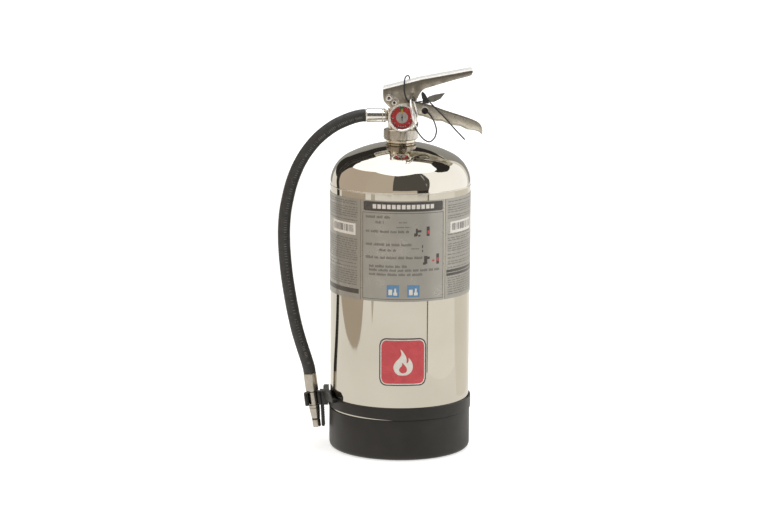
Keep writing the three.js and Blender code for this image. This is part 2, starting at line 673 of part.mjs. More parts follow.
cylinder();
neck();
boot();
labels();
valve();
gauge();
carryHandle();
lever();
rivet("lever_rivet", PIVOT, LEVER_HALF_Y + GAP, LEVER_RIVET_HEAD_R);
rivet("handle_rivet", HANDLE_RIVET, HANDLE_HALF_Y + GAP, RIVET_HEAD_R);
pullPin();
tamperSeal();
hose();
nozzle();
nozzleClip();

export default extinguisher;
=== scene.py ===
import math
import random

import bmesh
import bpy
from mathutils import Matrix, Vector


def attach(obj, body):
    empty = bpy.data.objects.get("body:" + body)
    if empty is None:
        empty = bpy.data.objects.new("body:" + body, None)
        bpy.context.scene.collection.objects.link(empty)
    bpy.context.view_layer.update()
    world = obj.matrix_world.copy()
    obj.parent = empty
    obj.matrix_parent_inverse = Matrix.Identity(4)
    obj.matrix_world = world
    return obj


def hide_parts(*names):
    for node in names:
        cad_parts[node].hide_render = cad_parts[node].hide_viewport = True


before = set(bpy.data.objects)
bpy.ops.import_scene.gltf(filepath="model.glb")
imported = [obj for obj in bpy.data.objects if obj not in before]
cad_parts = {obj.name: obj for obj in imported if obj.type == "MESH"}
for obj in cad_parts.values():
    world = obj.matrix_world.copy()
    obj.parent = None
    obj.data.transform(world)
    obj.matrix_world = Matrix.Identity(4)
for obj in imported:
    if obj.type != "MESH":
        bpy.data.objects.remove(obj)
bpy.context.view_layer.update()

MM = 0.001
DEG = math.pi / 180

# ---- Driving dimensions, in millimetres, as in the CAD ----

TANK_R = 88.9
TANK_WALL = 1.2
TANK_SEGMENTS = 256
AXIS_R = 0.5  # where the outline of a closed end starts, just off the axis
SEAM_Z = 340
SEAM_HALF_GAP = 0.6
DOME_CROWN_R = 148
DOME_KNUCKLE_R = 40
DOME_TANGENT_Z = SEAM_Z + 2.5
BOTTOM_TANGENT_Z = 50
BOTTOM_KNUCKLE_R = 30
NECK_HOLE_R = 16.2
BOOT_R = 90.2
BOOT_H = 52
BAND_R = 91.4
BAND_Z = (52.4, 68)
BAND_GAP = 2.2
BAND_GAP_AT, BAND_GAP_REACH = -58, 58  # degrees from the front towards +X
NECK_TOP_Z = 397.2
BARREL_R = 16
NUT_ACROSS = 42.4
NUT_Z = (397.5, 410.6)
OUTLET_Z = 427.2
SHEET = 2
HANDLE_HALF_Y = 12.7
LEVER_HALF_Y = 15
PIVOT = (-14.9, 451.6)
HANDLE_RIVET = (-8.1, 445.3)
PIN = (15.2, 449.6)
EYE_Y = -25.5
RING_R = 18
RING_WIRE_R = 1.3
RING_LEAN = 36 * DEG
RING_TILT = 11.5 * DEG
RING_YAW = 8 * DEG
GAUGE = (1.6, 427.6)
GAUGE_R = 17.3
HOSE_R = 8
NOZZLE_TOP = (-115.4, 93.7)
NOZZLE_TILT = 7.6 * DEG
NECK_R = 5.5
SEAL_R = 0.9
LABEL_Z = (204.5, 331.5)
LABEL_R = TANK_R + 0.5

HOSE_ROUTE = [
    (-44.1, 427.2), (-49, 427), (-58.5, 425), (-70.5, 420.6), (-83.5, 414.2), (-95, 406.2), (-105.6, 396.9),
    (-115.2, 385.8), (-124.2, 372.6), (-131.8, 357.7), (-138.2, 340.4), (-142.9, 321.9), (-146.3, 303.4),
    (-147.9, 284.5), (-148, 266), (-147, 247), (-144.6, 222.5), (-141, 198), (-136.4, 172.5), (-131.4, 150),
    (-125.3, 129), (-121.6, 117.5), (-118.3, 107), (-116.2, 99), (-115.5, 94.1),
]
SEAL_OVER_LEVER = [
    (11.4, 16.7, 462), (11.2, 17, 468), (10.6, 16.4, 474), (9.2, 10.5, 476.8), (6.8, 0, 477.2),
    (5.2, -10, 475.8), (4.5, -15.4, 473.2), (4.2, -16.7, 468), (4.4, -16.5, 460), (5.8, -16.2, 453.2),
    (8.4, -16.2, 448.2), (11.3, -16.2, 446.2),
]
SEAL_TO_LOCK = [(17.6, -16.6, 445.4), (20.4, -17.2, 446.2), (23.4, -17.6, 447), (26.6, -17.8, 447.4)]
SEAL_TAIL = [
    (36.2, -19.5, 446.8), (41, -19.5, 442), (54.6, -19, 428), (68, -18.6, 412.9), (80.8, -18.2, 399.4),
]
SEAL_LOOP = [
    (31.4, -13.6, 434.4), (34.6, -15.4, 432.6), (39.2, -18, 427.1), (43.2, -21, 419.2), (44.9, -24, 411),
    (42.6, -27, 402.8), (36.4, -29.8, 398), (29.8, -32, 400.8), (24.8, -34.4, 406.2), (21, -35.8, 411.6),
    (18.4, -36.6, 414.6), (17.9, -36.9, 417.8), (18.8, -36.9, 420), (20.9, -36.7, 420.6),
]

# ---- Camera ----

CAMERA_AT = (0, -3.4, 0.8596)
CAMERA_PITCH = 10.43 * DEG
CAMERA_ROLL = 0.3 * DEG
LENS = 128.2
SENSOR = 36
SHIFT_X = -0.0263

camera_data = bpy.data.cameras.new("camera")
camera_data.lens = LENS
camera_data.sensor_width = SENSOR
camera_data.sensor_fit = "HORIZONTAL"
camera_data.shift_x = SHIFT_X
camera_data.clip_end = 50
camera = bpy.data.objects.new("camera", camera_data)
camera.matrix_world = (
    Matrix.Translation(CAMERA_AT)
    @ Matrix.Rotation(math.pi / 2 - CAMERA_PITCH, 4, "X")
    @ Matrix.Rotation(CAMERA_ROLL, 4, "Z")
)
bpy.context.collection.objects.link(camera)
bpy.context.scene.camera = camera


# ---- Materials: every one is procedural ----

CLOUD_RANGE = (0.35, 0.65)  # the noise values between which the colour and roughness change


def material_nodes(name):
    """A new material with its nodes, and a maker of nodes that sets their inputs by name."""
    made = bpy.data.materials.new(name)
    made.use_nodes = True

    def add(kind, **values):
        node = made.node_tree.nodes.new("ShaderNode" + kind)
        for key, value in values.items():
            node.inputs[key.replace("_", " ")].default_value = value
        return node

    return made, made.node_tree.nodes, add


def surface(name, color, other, rough, metallic=0.0, scale=(1, 1, 1), grain=60.0, fine=600.0, bump=0.05,
            bump_mm=0.1, specular=0.5):
    """A principled material whose colour and roughness follow a noise, with a finer noise as its relief.
    rough is the roughness in the noise's low and high parts; scale stretches the pattern."""
    made, nodes, add = material_nodes(name)
    shader = nodes["Principled BSDF"]
    shader.inputs["Metallic"].default_value = metallic
    shader.inputs["Specular IOR Level"].default_value = specular
    place, stretch = add("TexCoord"), add("Mapping", Scale=scale)
    cloud, pits = add("TexNoise", Scale=grain, Detail=5), add("TexNoise", Scale=fine, Detail=3)
    levels = add("MapRange", From_Min=CLOUD_RANGE[0], From_Max=CLOUD_RANGE[1])
    wear = add("MapRange", To_Min=rough[0], To_Max=rough[1])
    relief = add("Bump", Strength=bump, Distance=bump_mm * MM)
    tint = add("Mix")
    tint.data_type = "RGBA"
    tint.inputs["A"].default_value = (*color, 1)
    tint.inputs["B"].default_value = (*other, 1)
    for source, out, target, into in (
        (place, "Object", stretch, "Vector"), (stretch, "Vector", cloud, "Vector"),
        (cloud, "Fac", levels, "Value"), (levels, "Result", tint, "Factor"),
        (tint, "Result", shader, "Base Color"), (levels, "Result", wear, "Value"),
        (wear, "Result", shader, "Roughness"), (stretch, "Vector", pits, "Vector"),
        (pits, "Fac", relief, "Height"), (relief, "Normal", shader, "Normal"),
    ):
        made.node_tree.links.new(source.outputs[out], target.inputs[into])
    return made


ALONG_Z = (1, 1, 1.6)  # stretches a satin finish's pattern
MIRROR = surface("polished_steel", (0.665, 0.63, 0.555), (0.63, 0.595, 0.52), (0.02, 0.06), 1,
                 grain=14, fine=25, bump=0.02, bump_mm=0.25)
CHROME = surface("chrome", (0.93, 0.92, 0.90), (0.87, 0.86, 0.84), (0.08, 0.16), 1, grain=90, bump=0.02)
PLATED = surface("nickel_plate", (0.74, 0.67, 0.56), (0.70, 0.63, 0.52), (0.17, 0.22), 1,
                 grain=180, fine=1500, bump=0.06, bump_mm=0.05)
NICKEL = surface("nozzle_nickel", (0.53, 0.49, 0.43), (0.47, 0.435, 0.38), (0.2, 0.28), 1,
                 grain=180, fine=1500, bump=0.06, bump_mm=0.05)
SATIN = surface("satin_steel", (0.40, 0.37, 0.32), (0.26, 0.24, 0.20), (0.24, 0.38), 1,
                scale=ALONG_Z, grain=110, fine=1400, bump=0.14, bump_mm=0.06)
# Painted highlight: a near-white, barely metallic copy of the satin steel for the lever's upward faces,
# standing in for the light that they reflect.
SATIN_PAINTED_HIGHLIGHT = surface("satin_steel_painted_highlight", (0.93, 0.93, 0.91), (0.86, 0.86, 0.84), (0.3, 0.4), 0.1,
                    scale=ALONG_Z, grain=110, fine=1400, bump=0.10, bump_mm=0.05)
# Painted shade: a dark copy of the satin steel for the far fold of the lever's top.
FOLD_PAINTED_SHADE = surface("fold_painted_shade", (0.17, 0.16, 0.14), (0.13, 0.12, 0.11), (0.34, 0.44), 0.5,
                     grain=110, bump=0.1)
HANDLE_STEEL = surface("handle_steel", (0.74, 0.70, 0.61), (0.62, 0.58, 0.50), (0.26, 0.38), 0.85,
                       scale=ALONG_Z, grain=260, fine=1400, bump=0.2, bump_mm=0.08)
BRASS = surface("bourdon_brass", (0.72, 0.52, 0.24), (0.60, 0.42, 0.18), (0.22, 0.35), 1, grain=200, bump=0.1)
PLASTIC = surface("boot_plastic", (0.022, 0.0195, 0.0165), (0.018, 0.016, 0.0135), (0.40, 0.50),
                  grain=30, fine=1700, bump=0.18, bump_mm=0.05, specular=0.36)
CLIP_PLASTIC = surface("clip_plastic", (0.022, 0.021, 0.020), (0.016, 0.015, 0.014), (0.28, 0.40),
                       grain=90, fine=1500, bump=0.12, bump_mm=0.05)
SEAL_BLACK = surface("seal_plastic", (0.020, 0.020, 0.020), (0.030, 0.030, 0.029), (0.35, 0.5),
                     grain=400, fine=1500, bump=0.1)
FLAG_GREY = surface("seal_flag_plastic", (0.16, 0.155, 0.135), (0.11, 0.105, 0.09), (0.4, 0.55),
                    grain=200, fine=900, bump=0.1)
NYLON = surface("nylon", (0.74, 0.72, 0.66), (0.66, 0.64, 0.58), (0.4, 0.5), grain=80, bump=0.1)
RUBBER = surface("hose_rubber", (0.045, 0.044, 0.042), (0.034, 0.033, 0.032), (0.42, 0.55),
                 grain=160, fine=1300, bump=0.25, bump_mm=0.08, specular=0.4)
FOIL = surface("label_foil", (0.375, 0.36, 0.325), (0.345, 0.33, 0.295), (0.26, 0.34), 0.55,
               grain=40, fine=1800, bump=0.10, bump_mm=0.04)
PRINT_DARK = surface("print_dark", (0.055, 0.047, 0.040), (0.075, 0.066, 0.056), (0.3, 0.4), grain=300)
PRINT_GREY = surface("print_grey", (0.04, 0.036, 0.031), (0.065, 0.06, 0.052), (0.3, 0.4), grain=300)
PRINT_PALE = surface("print_pale", (0.72, 0.69, 0.63), (0.66, 0.63, 0.57), (0.35, 0.45), grain=200)
PRINT_BLUE = surface("print_blue", (0.115, 0.25, 0.42), (0.09, 0.21, 0.37), (0.3, 0.4), grain=120)
PRINT_RED = surface("print_red", (0.58, 0.065, 0.075), (0.50, 0.05, 0.06), (0.25, 0.34), grain=120)
HOSE_PRINT = surface("hose_print", (0.20, 0.20, 0.195), (0.14, 0.14, 0.135), (0.45, 0.55), grain=300)
DIAL_RED = surface("dial_red", (0.72, 0.042, 0.05), (0.62, 0.035, 0.042), (0.3, 0.4), grain=400)
DIAL_GREEN = surface("dial_green", (0.03, 0.26, 0.11), (0.025, 0.21, 0.09), (0.3, 0.4), grain=400)
DIAL_SILVER = surface("dial_silver", (0.60, 0.58, 0.56), (0.50, 0.48, 0.46), (0.35, 0.45), 0.5, grain=300)
NEEDLE_YELLOW = surface("needle_yellow", (0.80, 0.52, 0.05), (0.72, 0.45, 0.04), (0.3, 0.4), grain=500)


def clear_plastic():
    """The gauge's window: a thin clear sheet that bends light little, with faint smears."""
    made = surface("gauge_window", (1, 1, 1), (0.94, 0.95, 0.95), (0.02, 0.06), grain=120, bump=0.01)
    shader = made.node_tree.nodes["Principled BSDF"]
    shader.inputs["Transmission Weight"].default_value = 1
    shader.inputs["IOR"].default_value = 1.1
    return made


WINDOW = clear_plastic()

# ---- Shape makers: all sizes in millimetres ----

def facing(at):
    """Lays a shape made along +Z over, so that +Z points along -Y, at (x, z)."""
    return Matrix.Translation((at[0], 0, at[1])) @ Matrix.Rotation(math.pi / 2, 4, "X")


def sideways(z):
    """Lays a shape made along +Z over, so that +Z points along -X, at height z."""
    return Matrix.Translation((0, 0, z)) @ Matrix.Rotation(-math.pi / 2, 4, "Y")


ON_NOZZLE = (
    Matrix.Translation((NOZZLE_TOP[0], 0, NOZZLE_TOP[1]))
    @ Matrix.Rotation(-NOZZLE_TILT, 4, "Y")
    @ Matrix.Rotation(math.pi, 4, "X")
)
ON_GAUGE = facing(GAUGE)


def arc(x, z, r, start, stop, steps):
    """Points on an arc about (x, z) between two angles in degrees, both ends included."""
    angles = [(start + (stop - start) * i / steps) * DEG for i in range(steps + 1)]
    return [(x + r * math.cos(a), z + r * math.sin(a)) for a in angles]


SIDE_SHARE = 0.48  # how much of a side the rounding of one corner may take
STRAIGHT = 175 * DEG  # a corner wider than this is left as it is


def rounded(points, radius, steps=4):
    """A closed outline with its corners rounded; a point's third value is a radius of its own."""
    out = []
    n = len(points)
    for i in range(n):
        here = Vector(points[i][:2])
        before = Vector(points[i - 1][:2]) - here
        after = Vector(points[(i + 1) % n][:2]) - here
        r = points[i][2] if len(points[i]) > 2 else radius
        reach = min(before.length, after.length) * SIDE_SHARE
        turn = before.angle(after)
        if r <= 0 or turn > STRAIGHT:
            out.append(tuple(here))
            continue
        back = min(r / math.tan(turn / 2), reach)
        a, b = here + before.normalized() * back, here + after.normalized() * back
        for k in range(steps + 1):
            t = k / steps
            out.append(tuple(a * (1 - t) ** 2 + here * 2 * t * (1 - t) + b * t ** 2))
    return out


def lathe(outline, segments=96):
    """The vertices and faces of a closed outline of (radius, z) turned about Z."""
    n = len(outline)
    verts = []
    for i in range(segments):
        c, s = math.cos(2 * math.pi * i / segments), math.sin(2 * math.pi * i / segments)
        verts += [(r * c, r * s, z) for r, z in outline]
    faces = [
        (i * n + k, (i + 1) % segments * n + k, (i + 1) % segments * n + (k + 1) % n, i * n + (k + 1) % n)
        for i in range(segments)
        for k in range(n)
    ]
    return verts, faces


def turned(points, segments=96, steps=4):
    """A closed outline of (radius, z, corner radius) turned about Z."""
    return lathe(rounded(points, 0, steps), segments)


def prism(outline, low, high):
    """The vertices and faces of an outline of (x, z), from low to high along Y."""
    n = len(outline)
    verts = [(x, low, z) for x, z in outline] + [(x, high, z) for x, z in outline]
    sides = [(i, (i + 1) % n, n + (i + 1) % n, n + i) for i in range(n)]
    return verts, [tuple(range(n)), tuple(range(2 * n - 1, n - 1, -1)), *sides]


def loft(sections):
    """The vertices and faces of a skin over closed sections with as many points each, its ends closed."""
    n, m = len(sections[0]), len(sections)
    verts = [p for section in sections for p in section]
    faces = [
        (j * n + i, (j + 1) * n + i, (j + 1) * n + (i + 1) % n, j * n + (i + 1) % n)
        for j in range(m - 1)
        for i in range(n)
    ]
    return verts, [*faces, tuple(range(n)), tuple(range(m * n - 1, (m - 1) * n - 1, -1))]


def slab(outline, low, high):
    """The vertices and faces of an outline of (x, y), from low to high along Z."""
    return loft([[(x, y, z) for x, y in outline] for z in (low, high)])


def rounded_box(x, y, corner):
    """The outline of a rectangle between two x and two y, its corners rounded."""
    return rounded([(x[0], y[0]), (x[1], y[0]), (x[1], y[1]), (x[0], y[1])], corner, 6)


def oring(radius, z, wire_r):
    """A ring of round section about Z."""
    return lathe(arc(radius, z, wire_r, 0, 340, 17), 72)


def moved(shape, matrix):
    verts, faces = shape
    return [tuple(matrix @ Vector(v)) for v in verts], faces


def both_sides(at, half):
    return at - half, at + half


BEVEL_ABOVE, SHARP_ABOVE = 35, 32  # degrees between two faces


def piece(name, shapes, material, body="root", node=None, place=None, bevel=0.0,
          sharp=SHARP_ABOVE, cutters=(), within=()):
    """An object from one or more (vertices, faces) shapes, kept only within some shapes and cut by others,
    with its sharp edges rounded."""
    made = bpy.data.objects.new(name, mesh_of(name, shapes, place))
    made.data.materials.append(material)
    bpy.context.collection.objects.link(made)
    steps = [(shape, "INTERSECT") for shape in within] + [(shape, "DIFFERENCE") for shape in cutters]
    for cutter, operation in steps:
        tool = bpy.data.objects.new("cutter", mesh_of("cutter", [cutter], place))
        bpy.context.collection.objects.link(tool)
        step = made.modifiers.new("cut", "BOOLEAN")
        step.object, step.solver, step.operation = tool, "EXACT", operation
        bpy.context.view_layer.update()
        depsgraph = bpy.context.evaluated_depsgraph_get()
        after = bpy.data.meshes.new_from_object(made.evaluated_get(depsgraph))
        made.modifiers.clear()
        made.data = after
        bpy.data.objects.remove(tool)
    if bevel:
        bm = bmesh.new()
        bm.from_mesh(made.data)
        edges = [e for e in bm.edges if len(e.link_faces) == 2 and e.calc_face_angle(0) > BEVEL_ABOVE * DEG]
        bmesh.ops.bevel(bm, geom=edges, offset=bevel * MM, segments=2, profile=0.6, affect="EDGES",
                        clamp_overlap=True)
        bm.to_mesh(made.data)
        bm.free()
    made.data.shade_smooth()
    made.data.set_sharp_from_angle(angle=sharp * DEG)
    ride(made, body, node)
    return made


def mesh_of(name, shapes, place):
    """One mesh of all the shapes, moved into place and brought to metres, its faces pointing out."""
    bm = bmesh.new()
    for verts, faces in shapes:
        made = [bm.verts.new(v) for v in verts]
        for face in faces:
            if len(set(face)) > 2:
                bm.faces.new([made[i] for i in face])
    bmesh.ops.transform(bm, matrix=Matrix.Scale(MM, 4) @ (place or Matrix()), verts=bm.verts)
    bmesh.ops.remove_doubles(bm, verts=bm.verts, dist=1e-6)
    bmesh.ops.recalc_face_normals(bm, faces=bm.faces)
    mesh = bpy.data.meshes.new(name)
    bm.to_mesh(mesh)
    bm.free()
    return mesh


def ride(made, body, node):
    """Puts a piece on its body, and hides the CAD node that it stands for."""
    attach(made, body)
    if node:
        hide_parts(node)


def smooth_line(points, steps=6):
    """A dense smooth line through the points, by centripetal Catmull-Rom."""
    p = [Vector(q) for q in points]
    p = [2 * p[0] - p[1], *p, 2 * p[-1] - p[-2]]
    out = []
    for i in range(1, len(p) - 2):
        four = p[i - 1:i + 3]
        knots = [0.0]
        for a, b in zip(four, four[1:]):
            knots.append(knots[-1] + (b - a).length ** 0.5)
        for s in range(steps):
            t = knots[1] + (knots[2] - knots[1]) * s / steps
            row = four
            for low, high in (((0, 1, 2), (1, 2, 3)), ((0, 1), (2, 3)), ((1,), (2,))):
                row = [
                    a.lerp(b, (t - knots[lo]) / (knots[hi] - knots[lo]))
                    for a, b, lo, hi in zip(row, row[1:], low, high)
                ]
            out.append(row[0])
    return [*out, p[-2]]


def cord(name, points, radius, material, body, node):
    """A round cord as one open curve with round ends."""
    data = bpy.data.curves.new(name, "CURVE")
    data.dimensions = "3D"
    line = smooth_line(points)
    spline = data.splines.new("POLY")
    spline.points.add(len(line) - 1)
    for point, at in zip(spline.points, line):
        point.co = (*(at * MM), 1)
    spline.use_smooth = True
    data.bevel_depth = radius * MM
    data.bevel_resolution = 5
    data.use_fill_caps = True
    data.materials.append(material)
    made = bpy.data.objects.new(name, data)
    bpy.context.collection.objects.link(made)
    ride(made, body, node)
    return made, line


def length_of(line):
    """A line's length in metres."""
    return sum((b - a).length for a, b in zip(line, line[1:])) * MM


# ---- Cords ----

def seal(name, points, body, node):
    return cord(name, points, SEAL_R, SEAL_BLACK, body, node)


hose, hose_line = cord(
    "rubber_hose", [(x, 0, z) for x, z in HOSE_ROUTE], HOSE_R, RUBBER, "hose", "hose"
)
seal_over_lever, strand_line = seal("seal_over_lever", SEAL_OVER_LEVER, "lever", "seal_strand")
seal("seal_to_lock", SEAL_TO_LOCK, "ring", "seal_link")
seal_free_tail, tail_line = seal("seal_free_tail", SEAL_TAIL, "ring", "seal_tail")
seal_round_loop, loop_line = seal("seal_round_loop", SEAL_LOOP, "ring", "seal_loop")

# ---- Cylinder, boot and band ----

def head(wall_r, crown_r, knuckle_r, hole_r, crown_steps=16, knuckle_steps=20):
    """Half a dished head's outline above its tangent line, from its neck hole's edge out to the wall."""
    drop = math.sqrt((crown_r - knuckle_r) ** 2 - (wall_r - knuckle_r) ** 2)
    meet = math.degrees(math.acos((wall_r - knuckle_r) / (crown_r - knuckle_r)))
    hole = math.degrees(math.acos(hole_r / crown_r))
    return [
        *arc(0, -drop, crown_r, hole, meet, crown_steps),
        *arc(wall_r - knuckle_r, 0, knuckle_r, meet, 0, knuckle_steps)[1:],
    ]


def half_tank(name, node, knuckle_r, hole_r, tangent_z, up, seam_z):
    """The shell on one side of the seam: a dished head above (up 1) or below (up -1) its tangent line, and
    the wall from there to the seam."""
    outer = head(TANK_R, DOME_CROWN_R, knuckle_r, hole_r)
    inner = head(TANK_R - TANK_WALL, DOME_CROWN_R - TANK_WALL, knuckle_r - TANK_WALL, hole_r)[::-1]
    piece(name, [lathe([
        *[(r, tangent_z + up * h) for r, h in outer], (TANK_R, seam_z),
        (TANK_R - TANK_WALL, seam_z), *[(r, tangent_z + up * h) for r, h in inner],
    ], TANK_SEGMENTS)], MIRROR, node=node)


half_tank("polished_cylinder", "cylinder_body", BOTTOM_KNUCKLE_R, AXIS_R, BOTTOM_TANGENT_Z, -1,
          SEAM_Z - SEAM_HALF_GAP)
piece(
    "girth_weld",
    [lathe([(TANK_R - 1, SEAM_Z - 1), *arc(TANK_R - 0.75, SEAM_Z, 1.1, -60, 60, 8), (TANK_R - 1, SEAM_Z + 1)],
           TANK_SEGMENTS)],
    MIRROR, node="weld_bead",
)
half_tank("polished_dome", "cylinder_dome", DOME_KNUCKLE_R, NECK_HOLE_R, DOME_TANGENT_Z, 1,
          SEAM_Z + SEAM_HALF_GAP)
LINING_R = TANK_R + 0.3  # the inner face of the boot and the band
piece("boot_shell", [turned([
    (AXIS_R, 0, 0), (BOOT_R, 0, 7), (BOOT_R, BOOT_H, 1.2), (LINING_R, BOOT_H, 0.4), (LINING_R, 14, 0),
    (BOOT_R - 9, 3.6, 0), (AXIS_R, 3.6, 0),
], TANK_SEGMENTS, 8)], PLASTIC, node="boot")
band_verts, band_faces = turned([
    (LINING_R, BAND_Z[0], 0.3), (BAND_R, BAND_Z[0], 0.9), (BAND_R, BAND_Z[1], 1.1),
    (LINING_R, BAND_Z[1], 0.4),
], TANK_SEGMENTS, 6)


def band_lift(x, y, z):
    """The band's lower edge stands clear of the boot at the front left, where a line of steel shows."""
    away = (math.atan2(x, -y) / DEG - BAND_GAP_AT) / BAND_GAP_REACH
    rise = max(0.0, math.cos(away * math.pi / 2)) if abs(away) < 1 else 0.0
    return x, y, z + BAND_GAP * rise * max(0.0, (BAND_Z[1] - z) / (BAND_Z[1] - BAND_Z[0]))


piece("band_ring", [([band_lift(*v) for v in band_verts], band_faces)], PLASTIC, node="hose_band")

# ---- Neck and valve ----

piece(
    "neck_flange",
    [turned([
        (14.6, 386, 0), (15.9, 386, 0), (15.9, 393.6, 0), (18, 393.6, 0.5), (18, NECK_TOP_Z, 0.6),
        (16.6, NECK_TOP_Z, 0.2), (16.6, 395, 0), (14.6, 395, 0),
    ])],
    PLATED, node="neck_ring",
    cutters=[prism([(0, 394.6), (7, 394.6), (7, 396.3), (0, 396.3)], -19, -16.9)],
)
barrel = turned([
    (AXIS_R, 378, 0), (13.5, 378, 0), (14.3, 379, 0), (14.3, 397.6, 0), (BARREL_R, 397.6, 0.3),
    (BARREL_R, 432, 1.6), (AXIS_R, 432, 0),
], steps=5)
block = prism(rounded([
    (-12.5, 425), (12.8, 425), (12.8, 455), (10.5, 457.5), (-16.5, 457.5), (-19.6, 455), (-20.4, 450),
    (-18, 444), (-12.5, 439.5),
], 1.5), -10.4, 10.4)
boss = moved(
    turned([(5.5, 8, 0), (9.2, 8, 0), (9.2, 16.4, 0.8), (5.5, 16.4, 0.3)], 72), sideways(OUTLET_Z)
)
piece("valve_casting", [barrel, block, boss], PLATED, node="valve_body", bevel=0.4)

NUT_SIDES = 12
NUT_SIDE_STEPS = 8
NUT_SIDE = 360 / NUT_SIDES  # degrees
NUT_CORNER_AT = -7
NUT_BORE_R = 16.3
NUT_CHAMFER = ((0, 20.6), (0.7, 21.3), (1.5, 22.2))  # depth under a face and the radius there


def nut_section(z, limit):
    """The nut's twelve-sided outline at one height, its corners trimmed to a circle of the given radius."""
    points = []
    for i in range(NUT_SIDES * NUT_SIDE_STEPS):
        a = 360 / (NUT_SIDES * NUT_SIDE_STEPS) * i
        in_side = (a + NUT_SIDE / 2) % NUT_SIDE - NUT_SIDE / 2
        r = min(NUT_ACROSS / 2 / math.cos(in_side * DEG), limit)
        turn = (a - 90 + NUT_CORNER_AT + NUT_SIDE / 2) * DEG
        points.append((r * math.cos(turn), r * math.sin(turn), z))
    return points


def nut_shape():
    """The nut: chamfered faces below and above, and a round bore."""
    outer = [nut_section(NUT_Z[0] + depth, r) for depth, r in NUT_CHAMFER]
    outer += [nut_section(NUT_Z[1] - depth, r) for depth, r in NUT_CHAMFER[::-1]]
    bore = [
        [(x * NUT_BORE_R / math.hypot(x, y), y * NUT_BORE_R / math.hypot(x, y), z) for x, y, _ in outer[0]]
        for z in NUT_Z[::-1]
    ]
    rows = outer + bore
    n, m = len(rows[0]), len(rows)
    faces = [
        (j * n + i, j * n + (i + 1) % n, (j + 1) % m * n + (i + 1) % n, (j + 1) % m * n + i)
        for j in range(m)
        for i in range(n)
    ]
    return [p for row in rows for p in row], faces


piece("twelve_sided_nut", [nut_shape()], NICKEL, node="collar_nut", sharp=12)

# ---- Gauge: made along +Z with +Y up, then turned to face the front ----

BACK, FRONT = 17.4, 29.3
case_r = GAUGE_R - 0.2
piece("gauge_cup", [turned([
    (1.2, 9.2, 0), (4, 9.2, 0.3), (4, BACK, 0.6), (case_r - 4.5, BACK, 2), (case_r, BACK + 4.5, 2.5),
    (case_r, 27, 0), (case_r - 1, 27, 0), (case_r - 1, BACK + 5, 0), (case_r - 4.8, BACK + 1.2, 0),
    (1.2, BACK + 1.2, 0),
], 128, 6)], PLATED, node="gauge_case", place=ON_GAUGE)
piece("gauge_rim", [turned([
    (14.2, 27.3, 0), (GAUGE_R, 27.3, 0.4), (GAUGE_R, FRONT, 1.3), (15.6, FRONT, 0.5), (14.4, 28, 0.3),
], 160, 8)], CHROME, node="gauge_bezel", place=ON_GAUGE)


def sector(inner, outer, start, stop, z, steps=None):
    """A flat piece of a ring in the gauge's plane; angles are clockwise from the top, in degrees."""
    n = steps or max(2, int(abs(stop - start) / 4))
    verts = []
    for i in range(n + 1):
        a = (start + (stop - start) * i / n) * DEG
        verts += [(r * math.sin(a), r * math.cos(a), z) for r in (inner, outer)]
    return verts, [(2 * i, 2 * i + 1, 2 * i + 3, 2 * i + 2) for i in range(n)]


def on_dial(name, shapes, material, node=None):
    piece(name, shapes, material, node=node, place=ON_GAUGE)


DIAL_Z = (22.4, 23)
PRINT_Z = DIAL_Z[1] + 0.05
PRINT_OVER_Z = PRINT_Z + 0.05
DIAL_HOLE_R, DIAL_R = 1.2, 15.8
DIAL_TICKS = (  # inner and outer radius, half the width in degrees, steps, where they stand in degrees
    (12.9, 13.8, 0.8, 2, [a for a in range(-135, 136, 15) if abs(a) > 14]),
    (10.6, 12.2, 2.4, 3, (-128, -95, 95, 128)),
    (10.8, 12.6, 1.8, 2, (158, 169, 180, 191, 202)),
)
on_dial("dial_plate", [lathe([
    (DIAL_HOLE_R, DIAL_Z[0]), (DIAL_R, DIAL_Z[0]), (DIAL_R, DIAL_Z[1]), (DIAL_HOLE_R, DIAL_Z[1]),
])], DIAL_RED, "gauge_dial")
on_dial("dial_centre", [sector(DIAL_HOLE_R, 7.4, 0, 360, PRINT_Z, 72)], DIAL_SILVER)
on_dial("dial_band", [sector(14.1, DIAL_R, 0, 360, PRINT_Z, 96)], DIAL_SILVER)
on_dial("dial_green", [sector(6.9, 14, -13, 10, PRINT_OVER_Z)], DIAL_GREEN)
on_dial("dial_ticks", [
    sector(inner, outer, *both_sides(a, half), PRINT_OVER_Z, steps)
    for inner, outer, half, steps, places in DIAL_TICKS
    for a in places
], PRINT_PALE)
for name, shapes, material in (
    ("pointer", [
        turned([(0.1, 21.6, 0), (0.9, 21.6, 0), (0.9, 25, 0.3), (0.1, 25, 0)], 40),
        slab([(-0.4, -4.5), (0.4, -4.5), (0.3, 5), (-0.3, 5)], 24.1, 24.5),
    ], CLIP_PLASTIC),
    ("pointer_tip", [
        slab([(-0.75, 4.4), (0.75, 4.4), (1, 8.6), (0.5, 11.4), (-0.5, 11.4), (-1, 8.6)], 24.15, 24.65),
    ], NEEDLE_YELLOW),
):
    piece(name, shapes, material, body="needle", node="gauge_needle", place=ON_GAUGE,
          bevel=0.1)
piece("gauge_glass", [lathe([(0.05, 26), (DIAL_R, 26), (DIAL_R, 26.8), (0.05, 26.8)])], WINDOW,
      node="gauge_lens", place=ON_GAUGE)

# ---- Carry handle and squeeze lever ----

